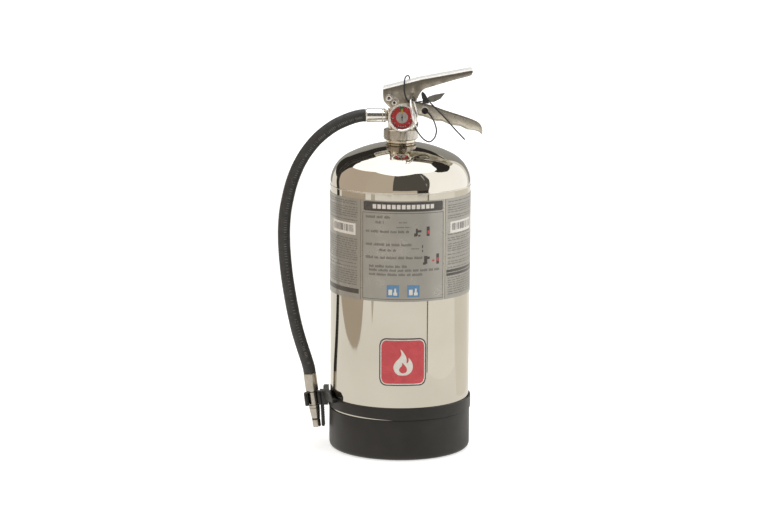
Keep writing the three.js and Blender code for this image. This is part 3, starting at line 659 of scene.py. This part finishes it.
HANDLE_GRIP = [
    (17.2, 431), (20.9, 428.7), (28, 427.4), (34, 425.4), (39.5, 423), (45, 421.7), (49, 421.6), (52.9, 421),
    (58.5, 418.6), (64, 416.4), (69.5, 415.8), (75, 415.1), (79.6, 413), (84.1, 410.9), (90, 410.2),
    (95.3, 409.2), (99.6, 407.3), (102, 404.8), (103.2, 406),
]
HANDLE_EDGE = [
    (17.2, 444.8), (27, 442), (39.2, 438.9), (52.9, 433.9), (71.1, 428.1), (83, 424.2), (95.3, 419.5),
    (99.6, 416.6), (101.2, 414.8), (102.6, 412.6), (103.2, 411),
]
HANDLE_EAR = [
    (-12, 433, 1), (17.2, 433, 0), (17.2, 444.8, 0), (19.3, 444.4, 0), (19.4, 452, 2), (17.8, 457, 3),
    (13, 459.2, 3), (-14, 459.2, 3), (-19, 457.6, 3), (-22, 453.6, 3), (-21.8, 448.6, 3), (-19.4, 444, 3),
    (-13.5, 438.6, 3),
]
HANDLE_HOLE = (30.4, 434.8, 4.2)
LEVER_TOP = [(-22.5, 463.8), (25, 476.2), (88.8, 488.2), (90.2, 486.4)]
LEVER_EDGE = [
    (-22.5, 455), (-22.3, 450), (-21.2, 447.2), (-19, 445.1), (-15.5, 444), (-12, 444.3), (-4, 445),
    (15, 445), (17, 445.3), (18.4, 446.3), (20.4, 449.8), (22.6, 454.4), (25.8, 459.8), (29.5, 462.8),
    (38, 465.6),
    (50.8, 469.6), (70, 475.2), (87.8, 480.2), (89.4, 481.6), (90.2, 484.2),
]
LEVER_TRAVEL = 12 * DEG
RIVET_HOLE_R, RIVET_CLEAR_R, PIN_HOLE_R, PIN_SLOT_R = 2.9, 4.9, 2.0, 2.15
THROUGH = 20  # half the length of a shape that cuts right through
PAINTED_SHADE_FROM_Y = 10.5 * MM  # beyond this the lever's top is painted dark as shade


def height_at(line, x):
    """The height of a line of (x, z) at x; past its end, that of its last point."""
    for (x0, z0), (x1, z1) in zip(line, line[1:]):
        if x <= x1:
            return z0 + (z1 - z0) * (x - x0) / max(x1 - x0, 1e-9)
    return line[-1][1]


def channel(web, edge, half_y, bend, stations):
    """A folded channel along X: its web's outer height and its flanges' edge height, with rounded folds."""
    sections = []
    for x in stations:
        base, lip = height_at(web, x), height_at(edge, x)
        up = 1 if lip > base else -1
        r = min(bend, abs(lip - base) * 0.6)
        half = []
        for radius, side in ((r, half_y), (max(r - SHEET, 0.2), half_y - SHEET)):
            centre_y, centre_z = half_y - r, base + up * r
            turn = [
                (centre_y + radius * math.cos(a * DEG), centre_z - up * radius * math.sin(a * DEG))
                for a in range(0, 91, 15)
            ]
            half.append([(side, lip), *turn])
        outer, inner = half
        path = [*outer, *[(-y, z) for y, z in outer[::-1]], *[(-y, z) for y, z in inner], *inner[::-1]]
        sections.append([(x, y, z) for y, z in path])
    return loft(sections)


def flat_smooth(points, steps=5):
    """A smooth line through points of (x, z)."""
    return [(p.x, p.z) for p in smooth_line([(x, 0, z) for x, z in points], steps)]


def spread(start, stop, count):
    """Evenly spaced numbers from start to stop, both included."""
    return [start + (stop - start) * i / count for i in range(count + 1)]


def bar(at, r, segments=40):
    """A cylinder along Y."""
    return prism([(at[0] + x, at[1] + z) for x, z in arc(0, 0, r, 0, 360 - 360 / segments, segments - 1)],
                 -THROUGH, THROUGH)


def seen_from_lever(at, angle):
    """Where a point fixed in the world lies on the lever once the lever has turned by an angle."""
    dx, dz = at[0] - PIVOT[0], at[1] - PIVOT[1]
    c, s = math.cos(angle), math.sin(angle)
    return PIVOT[0] + dx * c - dz * s, PIVOT[1] + dx * s + dz * c


ear = rounded(HANDLE_EAR, 0, 5)
inner_y = HANDLE_HALF_Y - SHEET
piece("handle_ears", [prism(ear, -HANDLE_HALF_Y, -inner_y), prism(ear, inner_y, HANDLE_HALF_Y)], HANDLE_STEEL,
      node="carry_handle", bevel=0.3,
      cutters=[bar(PIVOT, RIVET_HOLE_R), bar(HANDLE_RIVET, RIVET_HOLE_R), bar(PIN, PIN_HOLE_R)])
piece(
    "handle_grip",
    [channel(flat_smooth(HANDLE_GRIP), flat_smooth(HANDLE_EDGE), HANDLE_HALF_Y, 4.2,
             spread(HANDLE_GRIP[0][0], HANDLE_GRIP[-1][0], 90))],
    HANDLE_STEEL, node="carry_handle", bevel=0.45,
    cutters=[prism(arc(*HANDLE_HOLE, 0, 351, 39), -THROUGH, 0)],
)
# A dark plug fills the hole in the grip's near side.
piece("handle_hole_plug", [turned([
    (0.1, 10.2, 0), (4.15, 10.2, 0), (4.15, 12.9, 0.2), (3.2, 13, 0.3), (2.9, 11.9, 0.2), (0.1, 11.7, 0),
], 48)], CLIP_PLASTIC, node="carry_handle", place=facing(HANDLE_HOLE))
pin_after = seen_from_lever(PIN, LEVER_TRAVEL)
pin_slot = prism([*arc(*pin_after, PIN_SLOT_R, 0, 180, 12), *arc(*PIN, PIN_SLOT_R, 180, 360, 12)],
                 -THROUGH, THROUGH)
squeeze_lever = piece(
    "squeeze_lever",
    [channel(LEVER_TOP, flat_smooth(LEVER_EDGE, 4), LEVER_HALF_Y, 3.6,
             [*spread(LEVER_TOP[0][0], -12, 16), *spread(-11, LEVER_TOP[-1][0], 84)])],
    SATIN, body="lever", node="lever", bevel=0.45,
    cutters=[bar(PIVOT, RIVET_HOLE_R), pin_slot, bar(HANDLE_RIVET, RIVET_CLEAR_R),
             bar(seen_from_lever(HANDLE_RIVET, LEVER_TRAVEL), RIVET_CLEAR_R)],
)
squeeze_lever.data.materials.append(SATIN_PAINTED_HIGHLIGHT)
squeeze_lever.data.materials.append(FOLD_PAINTED_SHADE)
# Upward faces of the lever: a near-white painted highlight towards the front, a dark painted shade on the far
# fold.
for face in squeeze_lever.data.polygons:
    if face.normal.z > 0.5:
        face.material_index = 1 if face.center.y < PAINTED_SHADE_FROM_Y else 2


def hollow_rivet(name, at, grip, node, head_r):
    """A hollow rivet along Y with rolled heads; a dark plastic plug fills its hole as painted shade."""
    r, head, hole_r, shade_plug_r = 2.6, 1.2, 1.5, 1.55
    shell = rounded([
        (hole_r, -grip - head, 0.5), (head_r, -grip - head, 0.8), (head_r, -grip, 0.2), (r, -grip, 0),
        (r, grip, 0), (head_r, grip, 0.2), (head_r, grip + head, 0.8), (hole_r, grip + head, 0.5),
    ], 0, 5)
    # The plug is painted shade: dark plastic where the hollow rivet's hole is in shade.
    shade_plug = rounded([(0.1, -grip), (shade_plug_r, -grip), (shade_plug_r, grip), (0.1, grip)], 0.1)
    for suffix, shape, material in (("", lathe(shell, 56), CHROME), ("_painted_shade_plug", lathe(shade_plug, 24), CLIP_PLASTIC)):
        piece(name + suffix, [shape], material, node=node, place=facing(at))


hollow_rivet("lever_hollow_rivet", PIVOT, LEVER_HALF_Y + 0.3, "lever_rivet", 4.4)
hollow_rivet("handle_hollow_rivet", HANDLE_RIVET, HANDLE_HALF_Y + 0.3, "handle_rivet", 3.65)

# ---- Pull pin, ring and tamper seal ----

EYE_HALF_X, EYE_SPAN_Y, EYE_THICK = 4.6, (-32.6, -18), 1.3
SLOT_HALF_X, SLOT_SPAN_Y = 3.8, (-31.6, -19.8)

shaft = moved(turned([
    (0.05, -19, 0), (1.2, -19, 0), (1.6, -17.8, 0.4), (1.6, 19, 0.4), (0.05, 19, 0),
], 40), facing(PIN))
tongue, eye_slot = [
    slab(rounded_box(both_sides(PIN[0], half_x), span_y, corner), *both_sides(PIN[1], half_z))
    for half_x, span_y, corner, half_z in (
        (EYE_HALF_X, EYE_SPAN_Y, 3.4, EYE_THICK / 2), (SLOT_HALF_X, SLOT_SPAN_Y, 1.2, 3),
    )
]
piece("pin_shaft", [shaft], SATIN, body="pin", node="pull_pin")
piece("pin_eye", [tongue], SATIN, body="pin", node="pull_pin", cutters=[eye_slot],
      bevel=0.3)
ring_place = (
    Matrix.Translation((PIN[0], EYE_Y, PIN[1]))
    @ Matrix.Rotation(-RING_YAW, 4, "Z")
    @ Matrix.Rotation(-RING_TILT, 4, "Y")
    @ Matrix.Translation((0, -RING_R * math.sin(RING_LEAN), -RING_R * math.cos(RING_LEAN)))
    @ Matrix.Rotation(math.pi / 2, 4, "Y")
)
piece("pull_ring", [lathe(arc(RING_R, 0, RING_WIRE_R, 0, 345, 23), 144)], CHROME, body="ring",
      node="pin_ring", place=ring_place)

LOCK = [(27, 444.9), (35.4, 444.9), (35.4, 449.7), (27, 449.7)]
LEAF = [(33, 446.6), (41.8, 446.9), (49.8, 450.8), (56, 458.6), (48.6, 457.4), (41.8, 456.1), (34.6, 453.6),
        (31, 448.4)]
WING = [(29, 447), (34, 448.6), (33.4, 452), (30.6, 457), (27, 460.4), (25.4, 457.4), (26.4, 451.6)]
for name, outline, corner, low, high, material, bevel in (
    ("seal_lock", LOCK, 1.2, -20.2, -15.8, SEAL_BLACK, 0.5),
    ("seal_leaf", LEAF, 0.8, -18.3, -17.4, FLAG_GREY, 0.2),
    ("seal_wing", WING, 0.8, -18.9, -18.3, SEAL_BLACK, 0.15),
):
    piece(name, [prism(rounded(outline, corner), low, high)], material, body="ring", node="seal_flag",
          bevel=bevel)

# ---- Hose fittings, nozzle and clip ----

piece("swivel_fitting", [turned([
    (2.8, 10, 0), (5.2, 10, 0), (5.2, 18, 0), (7.9, 18, 0.2), (7.9, 18.8, 0.2), (5.2, 18.8, 0), (5.2, 30, 0),
    (2.8, 30, 0),
], 72)], PLATED, node="outlet_fitting", place=sideways(OUTLET_Z))
piece("swivel_oring", [oring(6.6, 17.2, 0.5)], CLIP_PLASTIC, node="outlet_oring",
      place=sideways(OUTLET_Z))


def on_hose(name, shape, material, node, place=ON_NOZZLE, cutters=()):
    return piece(name, [shape], material, body="hose", node=node, place=place, cutters=cutters)


on_hose("ferrule_upper", turned([
    (5.5, 19.1, 0), (8.85, 19.1, 0.5), (8.85, 22.6, 0.3), (8.5, 23.1, 0.3), (8.85, 23.6, 0.3),
    (8.85, 42.2, 0.8), (8.2, 43.7, 0.5), (3.2, 43.7, 0), (3.2, 30.4, 0), (5.5, 30.4, 0),
], 128), CHROME, "hose_ferrule_top", place=sideways(OUTLET_Z))
ferrule_lower = on_hose("ferrule_lower", turned([
    (3, 0.3, 0), (7.9, 0.3, 0.4), (8.25, 1.2, 0.4), (8.25, 22.6, 0.6), (7.4, 24, 0.4), (3, 24, 0),
], 128), NICKEL, "hose_ferrule_bottom")
nozzle_main = on_hose("nozzle_main", turned([
    (2.6, 24.4, 0), (4.7, 24.4, 0), (4.7, 25.2, 0), (5.5, 25.4, 0.1), (5.5, 42, 0), (7, 42.4, 0.4),
    (7, 45.2, 0.5), (6.5, 45.8, 0.1), (6.9, 46.5, 0.4), (5.5, 59.6, 0.3), (4.3, 60, 0), (4.3, 61.6, 0),
    (2.6, 61.6, 0),
], 112), NICKEL, "nozzle_body")
nozzle_seal = on_hose("nozzle_seal", oring(4.85, 60.8, 0.55), CLIP_PLASTIC, "nozzle_oring")
neck_seal = on_hose("neck_seal", oring(5.1, 24.75, 0.6), CLIP_PLASTIC, "nozzle_body")
notch = prism([(-7, 70.3), (7, 70.3), (7, 73), (-7, 73)], -0.75, 0.75)
nozzle_end = on_hose("nozzle_end", turned([
    (2.2, 61.9, 0), (5.25, 61.9, 0.3), (5.25, 70.8, 0.5), (4.5, 71.6, 0.3), (3.4, 71.6, 0.3), (2.2, 69, 0),
]), NICKEL, "nozzle_tip", cutters=[moved(notch, Matrix.Rotation(a * DEG, 3, "Z")) for a in (0, 60, 120)])


def around(r, degrees):
    """A point at an angle from the front (-Y) towards +X."""
    return r * math.sin(degrees * DEG), -r * math.cos(degrees * DEG)


def wall(inner, outer, start, stop, low, high, steps):
    """Part of a tube round the cylinder's axis, between two angles from the front and two heights."""
    angles = spread(start, stop, steps)
    outline = [around(outer, a) for a in angles] + [around(inner, a) for a in angles[::-1]]
    return slab(outline, low, high)


def on_clip(name, shape, bevel, node="nozzle_clip", place=None, within=()):
    piece(name, [shape], CLIP_PLASTIC, node=node, place=place, bevel=bevel,
          within=within)


CLIP_INNER_R = BAND_R + 0.4
GRIP_R = NECK_R + 0.4
CREST = [
    (-104, 65), (-104, 69.5), (-102.6, 70.5), (-99, 75.6), (-88, 75.6), (-84.6, 70), (-79.5, 69), (-79.5, 65),
]
JAW = [
    *arc(0, 0, 11.2, 0, 180, 28), (-11.2, -5.5), (-10.4, -7.6), (-8.6, -8.2), (-6.6, -7.4), (-GRIP_R, -5.6),
    *arc(0, 0, GRIP_R, 180, 0, 24), (GRIP_R, -5.6), (6.6, -7.4), (8.6, -8.2), (10.4, -7.6), (11.2, -5.5),
]
TEETH, TOOTH_PITCH, TAIL_TOP_Z, TAIL_LEAN = 9, 3, 50, 0.05
TOOTH_TIP_X, TOOTH_ROOT_X, TOOTH_ROOT_AT = -96.6, -97.5, 0.85  # the last as a share of the pitch
on_clip("clip_crest", wall(CLIP_INNER_R, 98, -98, -60, 65, 76, 36), 0.5,
        within=[prism(rounded(CREST, 1.2), -60, 30)])
on_clip("clip_block", wall(CLIP_INNER_R, 110, -110, -70, 48, 82, 36), 0.6,
        within=[slab(rounded_box((-102.6, -88), (-6.5, 9), 1), 52.8, 70.5)])
on_clip("clip_jaw", slab([(x, -y) for x, y in JAW], 25.8, 41.8), 0.7, place=ON_NOZZLE)
teeth = [
    (x + TAIL_LEAN * TOOTH_PITCH * i, TAIL_TOP_Z - TOOTH_PITCH * (i + down))
    for i in range(TEETH)
    for x, down in ((TOOTH_TIP_X, 0), (TOOTH_ROOT_X, TOOTH_ROOT_AT))
]
tail = [(-101.4, TAIL_TOP_Z), (-100.1, 24.5), (-98.6, 22.6), *teeth[::-1]]
on_clip("serrated_tail", prism(tail, 0, 7), 0.25, "strap_tail")

# ---- Labels ----

def patch(start, stop, low, high, lift=0.05):
    """A piece of print on the labels' outer face, between two angles from the front and two heights."""
    n = max(1, int((stop - start) / 2.5))
    verts = [(*around(LABEL_R + lift, a), z) for a in spread(start, stop, n) for z in (low, high)]
    return verts, [(2 * i, 2 * i + 1, 2 * i + 3, 2 * i + 2) for i in range(n)]


def frame_line(start, stop, low, high, width):
    """A thin rectangular line; width is in millimetres."""
    w = width / LABEL_R / DEG
    return [
        patch(start, stop, low, low + width), patch(start, stop, high - width, high),
        patch(start, start + w, low, high), patch(stop - w, stop, low, high),
    ]


def marks(start, stop, z, height, seed):
    """A line of small print as plain upright ticks of uneven height, in groups like words."""
    dice = random.Random(seed)
    step = max(height * 0.36, 0.9) / LABEL_R / DEG
    out = []
    a = start
    while a < stop - step:
        for _ in range(dice.randint(4, 11)):
            if a < stop - step:
                out.append(patch(a, a + step * 0.5, z, z + height * dice.uniform(0.62, 1)))
            a += step
        a += step * 1.4
    return out


def foil_sheet(name, start, stop, node):
    piece(name, [wall(TANK_R + 0.15, LABEL_R, start, stop, *LABEL_Z, int((stop - start) / 1.5))], FOIL,
          node=node)


foil_sheet("foil_front", -32.7, 38, "label_front")
foil_sheet("foil_left", -128, -33.6, "label_left")
foil_sheet("foil_right", 39.1, 133, "label_right")

def on_label(name, shapes, material):
    piece(name, shapes, material)


# Each patch of print is (start, stop, low, high): degrees from the front, then millimetres.
HEADER = [(-30.7, 36.3, 319.2, 329.5), (-29.9, 35.5, 318.4, 319.2), (-29.9, 35.5, 329.5, 330.3)]
PICTURES = [
    (12.6, 14.2, 288, 297), (13.6, 17.2, 292, 295), (11.2, 13.4, 287, 291), (14.6, 16.4, 287, 289),
    (21.6, 24.2, 287, 299), (19.6, 22.4, 252, 262), (21.4, 24.4, 258, 261), (18.6, 21, 251, 254),
    (30.4, 33, 251, 264), (17.8, 18.6, 272, 276), (17.8, 18.6, 267, 270),
]
SIDE_BARS = [(-122, -35.2, 211.6, 217.6), (40.6, 124, 233.6, 237), (40.6, 124, 238, 241.4)]
CODES = [(-70, -38.5, 285.6, 300.2), (44.5, 78, 287.4, 302)]
RED_MARKS = [(22.4, 24, 290, 294), (26.6, 28.6, 254.6, 256.8), (30.8, 32.6, 254.8, 259)]
BLUE_SQUARES = [(-10.6, -0.6), (5.9, 15.9)]
SIGN_PARTS = [(1.4, 4.4, 213, 220), (5.4, 8.4, 212.6, 216.4), (6.2, 7.6, 216.4, 221.4)]  # in a square
FRONT_LINES = [  # the foot of each line, its start and stop, and the height of its marks
    (309.6, -28.5, -6, 3.6), (303, -20, -12.5, 3.6), (291.5, -28.5, 8, 3.6), (275, -28.5, 9.5, 3.6),
    (268.2, -17, -3, 3.6), (258.6, -28.5, 19.5, 3.6), (247.6, -25.5, 6, 3.6), (242.8, -25.5, 33.5, 3.4),
    (237.4, -25.5, 20, 3.4), (298, -3, 9, 1.6), (304, -1, 6, 1.8), (271, 9, 16, 1.4),
]
SIDE_LINES = [  # from and towards, the heights left free for the bar code and for the dark bars, and a seed
    (-36.4, -118, (283, 303), (211, 219), 600),
    (42, 124, (286, 304), (232, 243), 100),
]
SIDE_TOP_Z, SIDE_FOOT_Z, SIDE_GAPS, SIDE_MARK_H = 327.0, 209, (2.9, 2.9, 2.9, 4.6), 1.5
OVER = 0.1  # the lift of print that lies on other print

dark_print = [
    *[patch(*p) for p in HEADER], *frame_line(-31.6, 37, 207.2, 316.4, 0.55),
    *[patch(*p) for p in [*PICTURES, *SIDE_BARS]],
]
grey_print = []
for row, (z, start, stop, height) in enumerate(FRONT_LINES):
    grey_print += marks(start, stop, z, height, row)
dice = random.Random(7)
for near, far, code, bars, seed in SIDE_LINES:
    z = SIDE_TOP_Z
    while z > SIDE_FOOT_Z:
        gap = dice.choice(SIDE_GAPS)
        if not code[0] < z < code[1] and not bars[0] < z < bars[1]:
            low, high = sorted((near, near + (far - near) * dice.uniform(0.62, 1.0)))
            grey_print += marks(low, high, z, SIDE_MARK_H, seed)
        seed += 1
        z -= gap
on_label("print_dark", dark_print, PRINT_DARK)
on_label("print_grey", grey_print, PRINT_GREY)
dark_lines = []
for start, stop, low, high in CODES:
    a = start + 2
    while a < stop - 2.4:
        width = dice.choice((0.35, 0.5, 0.9))
        dark_lines.append(patch(a, a + width, low + 3.4, high - 2.4, OVER))
        a += width + dice.choice((0.4, 0.6, 1.1))
on_label("print_pale", [patch(*p, 0.08) for p in CODES], PRINT_PALE)
blocks = [patch(a, a + 3, 321.6, 327, OVER) for a in spread(-22.5, 24.9, 12)]
on_label("print_header_blocks", blocks, PRINT_PALE)
on_label("print_bar_code", dark_lines, PRINT_DARK)
on_label("print_blue", [patch(a, b, 210.4, 225.8) for a, b in BLUE_SQUARES], PRINT_BLUE)
on_label("print_signs", [
    patch(a + start, a + stop, low, high, OVER)
    for a, _ in BLUE_SQUARES for start, stop, low, high in SIGN_PARTS
], PRINT_PALE)
on_label("print_red", [patch(*p, OVER) for p in RED_MARKS], PRINT_RED)

# ---- Badge sticker: a plain rounded square with a flame ----

BADGE_AT = 2.7
BADGE_Z = (97, 158)
BADGE_X, BADGE_MID_Z = around(TANK_R, BADGE_AT)[0], sum(BADGE_Z) / 2


def sticker_layer(name, half_x, half_z, corner, lift, material, node=None):
    """One printed layer of the badge as a curved grid, trimmed to a rounded rectangle."""
    columns, rows = 40, 24
    verts = []
    for x in spread(-half_x, half_x, columns):
        inset = max(0.0, abs(x) - (half_x - corner))
        reach = half_z - corner + math.sqrt(max(corner ** 2 - inset ** 2, 0))
        across = around(LABEL_R + lift, BADGE_AT + x / LABEL_R / DEG)
        verts += [(*across, BADGE_MID_Z + z) for z in spread(-reach, reach, rows)]
    faces = [
        (k, k + rows + 1, k + rows + 2, k + 1)
        for i in range(columns)
        for k in range(i * (rows + 1), i * (rows + 1) + rows)
    ]
    piece(name, [(verts, faces)], material, node=node)


sticker_layer("badge_edge", 30, 30.4, 9, 0, PRINT_DARK, "badge_sticker")
sticker_layer("badge_line", 28.4, 28.8, 7.8, 0.06, PRINT_PALE)
sticker_layer("badge_field", 27.2, 27.6, 7, 0.12, PRINT_RED)
FLAME = [
    (0, -17), (6.5, -15.8), (11, -11.5), (12.6, -5.4), (11, 0.8), (7.4, 5.4), (7.1, 0.9), (5, -1.4),
    (4.5, 5.2), (1.6, 11.4), (-3, 16.6), (-1.8, 10.2), (-4.4, 5.4), (-8.8, 0.7), (-11.6, -5.2),
    (-10.8, -11.2), (-6.4, -16),
]
FLAME_HEART = [
    (0, -14), (3.6, -13), (5.2, -10), (4.4, -6.6), (2, -3.4), (-0.6, -0.6), (-1, -4), (-3.6, -7),
    (-4.6, -10.4), (-3, -13),
]


def badge_sign(name, outline, lift, material):
    """A flat sign on the badge, cut from a thin curved wall."""
    shape = [(BADGE_X + x, BADGE_MID_Z + z) for x, z in flat_smooth([*outline, outline[0]], 4)[:-1]]
    r = LABEL_R + lift
    piece(name, [wall(r, r + 0.06, *both_sides(BADGE_AT, 12), *BADGE_Z, 24)], material,
          within=[prism(shape, -100, -60)])


badge_sign("badge_flame", FLAME, 0.14, PRINT_PALE)
badge_sign("badge_flame_heart", FLAME_HEART, 0.2, PRINT_RED)

# ---- Faint print along the hose ----

CHARACTER_STEP, CHARACTER_WIDTH, WORD_GAP = 1.5, 0.6, 3
PRINT_TOP, PRINT_SPAN = 14, 13  # degrees round the hose, from the side that faces the front
TO_FRONT = Vector((0, -1, 0))
dice = random.Random(3)
hose_print = []
run, since = 0.0, 0.0
group = 6  # how many marks are left in this word
for near, far in zip(hose_line[6:-12], hose_line[7:]):
    run += (far - near).length
    along = (far - near).normalized()
    across = along.cross(TO_FRONT)
    while since < run:
        since += CHARACTER_STEP
        group -= 1
        if group < 0:
            since += WORD_GAP
            group = dice.randint(3, 9)
        tall = PRINT_SPAN * dice.uniform(0.7, 1)
        rows = []
        for k in range(3):
            a = (PRINT_TOP - tall + tall * k) * DEG
            spot = near + (TO_FRONT * math.cos(a) - across * math.sin(a)) * (HOSE_R + 0.06)
            rows += [tuple(spot), tuple(spot + along * CHARACTER_WIDTH)]
        hose_print.append((rows, [(0, 1, 3, 2), (2, 3, 5, 4)]))
print_on_hose = piece("print_on_hose", hose_print, HOSE_PRINT, body="hose")

# ---- The pieces inside keep their CAD shape ----

for names, inside in (
    (("neck_gasket", "stem_seal", "stem_oring"), RUBBER),
    (("valve_stem", "stem_spring"), SATIN),
    (("stem_bushing",), PLATED),
    (("siphon_adapter", "siphon_tube"), NYLON),
    (("bourdon_tube",), BRASS),
):
    for node in names:
        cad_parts[node].material_slots[0].material = inside

# ---- The cords' lengths, worked out and left unused ----

round(length_of(hose_line), 3)
round(length_of(strand_line), 3)
round(length_of(tail_line), 3)
round(length_of(loop_line), 3)

# ---- Studio: a pale floor, a soft light overhead and a tent that only lights and reflections see ----

ABOUT = Vector((0, 0, 0.36))  # the point that the tent's directions start from


def glow(name, color, strength):
    """A material that only shines."""
    made, nodes, add = material_nodes(name)
    nodes.remove(nodes["Principled BSDF"])
    light = add("Emission", Color=(*color, 1), Strength=strength)
    made.node_tree.links.new(light.outputs["Emission"], nodes["Material Output"].inputs["Surface"])
    return made


def staged(name, verts, faces, material):
    """Part of the studio, in metres."""
    mesh = bpy.data.meshes.new(name)
    mesh.from_pydata([tuple(v) for v in verts], [], faces)
    mesh.materials.append(material)
    made = bpy.data.objects.new(name, mesh)
    bpy.context.collection.objects.link(made)
    return made


def hide(made):
    """Leaves a staged piece to reflections and to the light that it gives."""
    made.visible_camera = False
    made.visible_shadow = False


def towards(az, el, distance):
    """A point in a direction: azimuth from the front towards +X and elevation, in degrees."""
    a, e = az * DEG, el * DEG
    return ABOUT + Vector((math.sin(a) * math.cos(e), -math.cos(a) * math.cos(e), math.sin(e))) * distance


def card(name, corners, distance, color, strength):
    """A card whose corners lie in the given directions from ABOUT; the camera doesn't see it."""
    points = []
    for (az0, el0), (az1, el1) in zip(corners, [*corners[1:], corners[0]]):
        turn = (az1 - az0 + 180) % 360 - 180
        points += [towards(az0 + turn * k / 6, el0 + (el1 - el0) * k / 6, distance) for k in range(6)]
    middle = sum(points, Vector()) / len(points)
    middle = ABOUT + (middle - ABOUT).normalized() * distance
    faces = [(i, (i + 1) % len(points), len(points)) for i in range(len(points))]
    hide(staged(name, [*points, middle], faces, glow(name, color, strength)))


WHITE, WARM, DIM = (1, 1, 1), (1, 0.96, 0.90), (0.5, 0.46, 0.42)
TAN, GREY = (1, 0.87, 0.72), (1, 0.98, 0.92)
card("softbox", [
    (-118, 37), (-64, 54), (-6, 48.5), (36, 55), (82, 48.5), (139, 54), (161, 46), (180, 52), (-169, 47),
    (-160, 45), (-136, 46),
], 2.2, WHITE, 1.8)
card("dark_front", [
    (-12, 52), (-12, -4), (20, -4), (46, -4), (52, 30), (50, 54), (36, 58), (12, 55),
], 2.3, (1, 0.92, 0.82), 0.11)
card("dark_streak", [(42, 50), (42, 0), (44, 0), (44.5, 50)], 2.28, WHITE, 0.6)
card("beige_low", [(-12, -3), (-12, -14), (27, -14), (27, -3)], 2.3, TAN, 0.70)
card("dark_low", [(27, -3), (27, -14), (46, -14), (46, -3)], 2.3, DIM, 0.08)
card("beige_left", [
    (-128, 14), (-120, -14), (-58, -14), (-58, 50), (-64, 56), (-118, 38),
], 2.35, (1, 0.84, 0.69), 0.62)
card("beige_middle", [(-58, 50), (-58, -14), (-12, -14), (-12, 52), (-64, 56)], 2.35, TAN, 0.62)
card("dark_behind", [
    (-118, 14), (-128, 4), (-157, 8), (-160, 25), (180, 27), (167, 29), (161, 32), (141, 36), (120, 34.5),
    (104, 34.5), (84, 42), (82, 49), (139, 56), (161, 48), (180, 54), (-169, 49), (-160, 47), (-136, 48),
    (-118, 38),
], 2.4, DIM, 0.07)
card("grey_behind", [
    (-150, 14), (-150, -8), (180, -8), (150, -8), (150, 34), (161, 31), (180, 29), (-160, 27),
], 2.45, GREY, 0.36)
card("white_right", [
    (50, 52), (46, -14), (98, -14), (142, -14), (142, 37), (104, 38), (82, 50),
], 2.45, WHITE, 1.35)


def square(half):
    return [(-half, -half), (half, -half), (half, half), (-half, half)]


def floor_card(name, corners, color, height=0.001):
    """A flat card lying on the floor, its corners as (x, y) in metres; only reflections see it."""
    face = tuple(range(len(corners)))
    made = staged(name, [(x, y, height) for x, y in corners], [face], glow(name, color, 1))
    hide(made)
    made.visible_diffuse = False


TENT_R = 2.6
floor_card("floor_all", square(TENT_R), (0.93, 0.905, 0.85), 0.0003)
floor_card("floor_brown", [
    (-0.64, -0.22), (-0.68, -0.31), (-0.76, -0.40), (-0.95, -0.56), (-2.5, -1.6), (-2.5, 0.95), (-1.00, 0.38),
    (-0.76, 0.05), (-0.66, -0.13),
], (0.51, 0.435, 0.35))
floor_card("floor_beige", [(-0.60, -0.62), (-0.78, -0.91), (-1.70, -1.94), (-1.92, -1.72), (-0.87, -0.81)],
           (0.58, 0.53, 0.44))
floor_card("floor_line", [(0.36, -0.40), (1.78, -1.80), (1.86, -1.73), (0.372, -0.391)], (0.22, 0.19, 0.15))
floor_card("floor_light", [(0.372, -0.391), (1.86, -1.73), (2.45, 0.3), (0.55, 0.07)], (1.0, 0.97, 0.91))
floor_card("floor_right", [(0.36, 0.06), (2.45, 0.42), (1.5, 2.1), (0.22, 0.33)], (0.86, 0.82, 0.74))

tent_mesh = bpy.data.meshes.new("tent")
bm = bmesh.new()
bmesh.ops.create_uvsphere(bm, u_segments=48, v_segments=24, radius=TENT_R)
bm.to_mesh(tent_mesh)
bm.free()
tent_mesh.materials.append(glow("tent", WARM, 0.95))
tent = bpy.data.objects.new("tent", tent_mesh)
tent.location = ABOUT
bpy.context.collection.objects.link(tent)
hide(tent)

floor_material = bpy.data.materials.new("floor")
floor_material.use_nodes = True
tree = floor_material.node_tree
base = tree.nodes["Principled BSDF"]
base.inputs["Base Color"].default_value = (0.72, 0.72, 0.72, 1)
base.inputs["Roughness"].default_value = 0.6
base.inputs["Emission Color"].default_value = (1, 1, 1, 1)
base.inputs["Emission Strength"].default_value = 0.56
FLOOR_HALF, FLOOR_Z = 9.0, -0.0004
staged("floor", [(x, y, FLOOR_Z) for x, y in square(FLOOR_HALF)], [(0, 1, 2, 3)], floor_material)

world = bpy.data.worlds.new("world")
world.use_nodes = True
world.node_tree.nodes["Background"].inputs["Color"].default_value = (1, 1, 1, 1)
world.node_tree.nodes["Background"].inputs["Strength"].default_value = 1.0
bpy.context.scene.world = world
bpy.context.scene.view_settings.view_transform = "Standard"
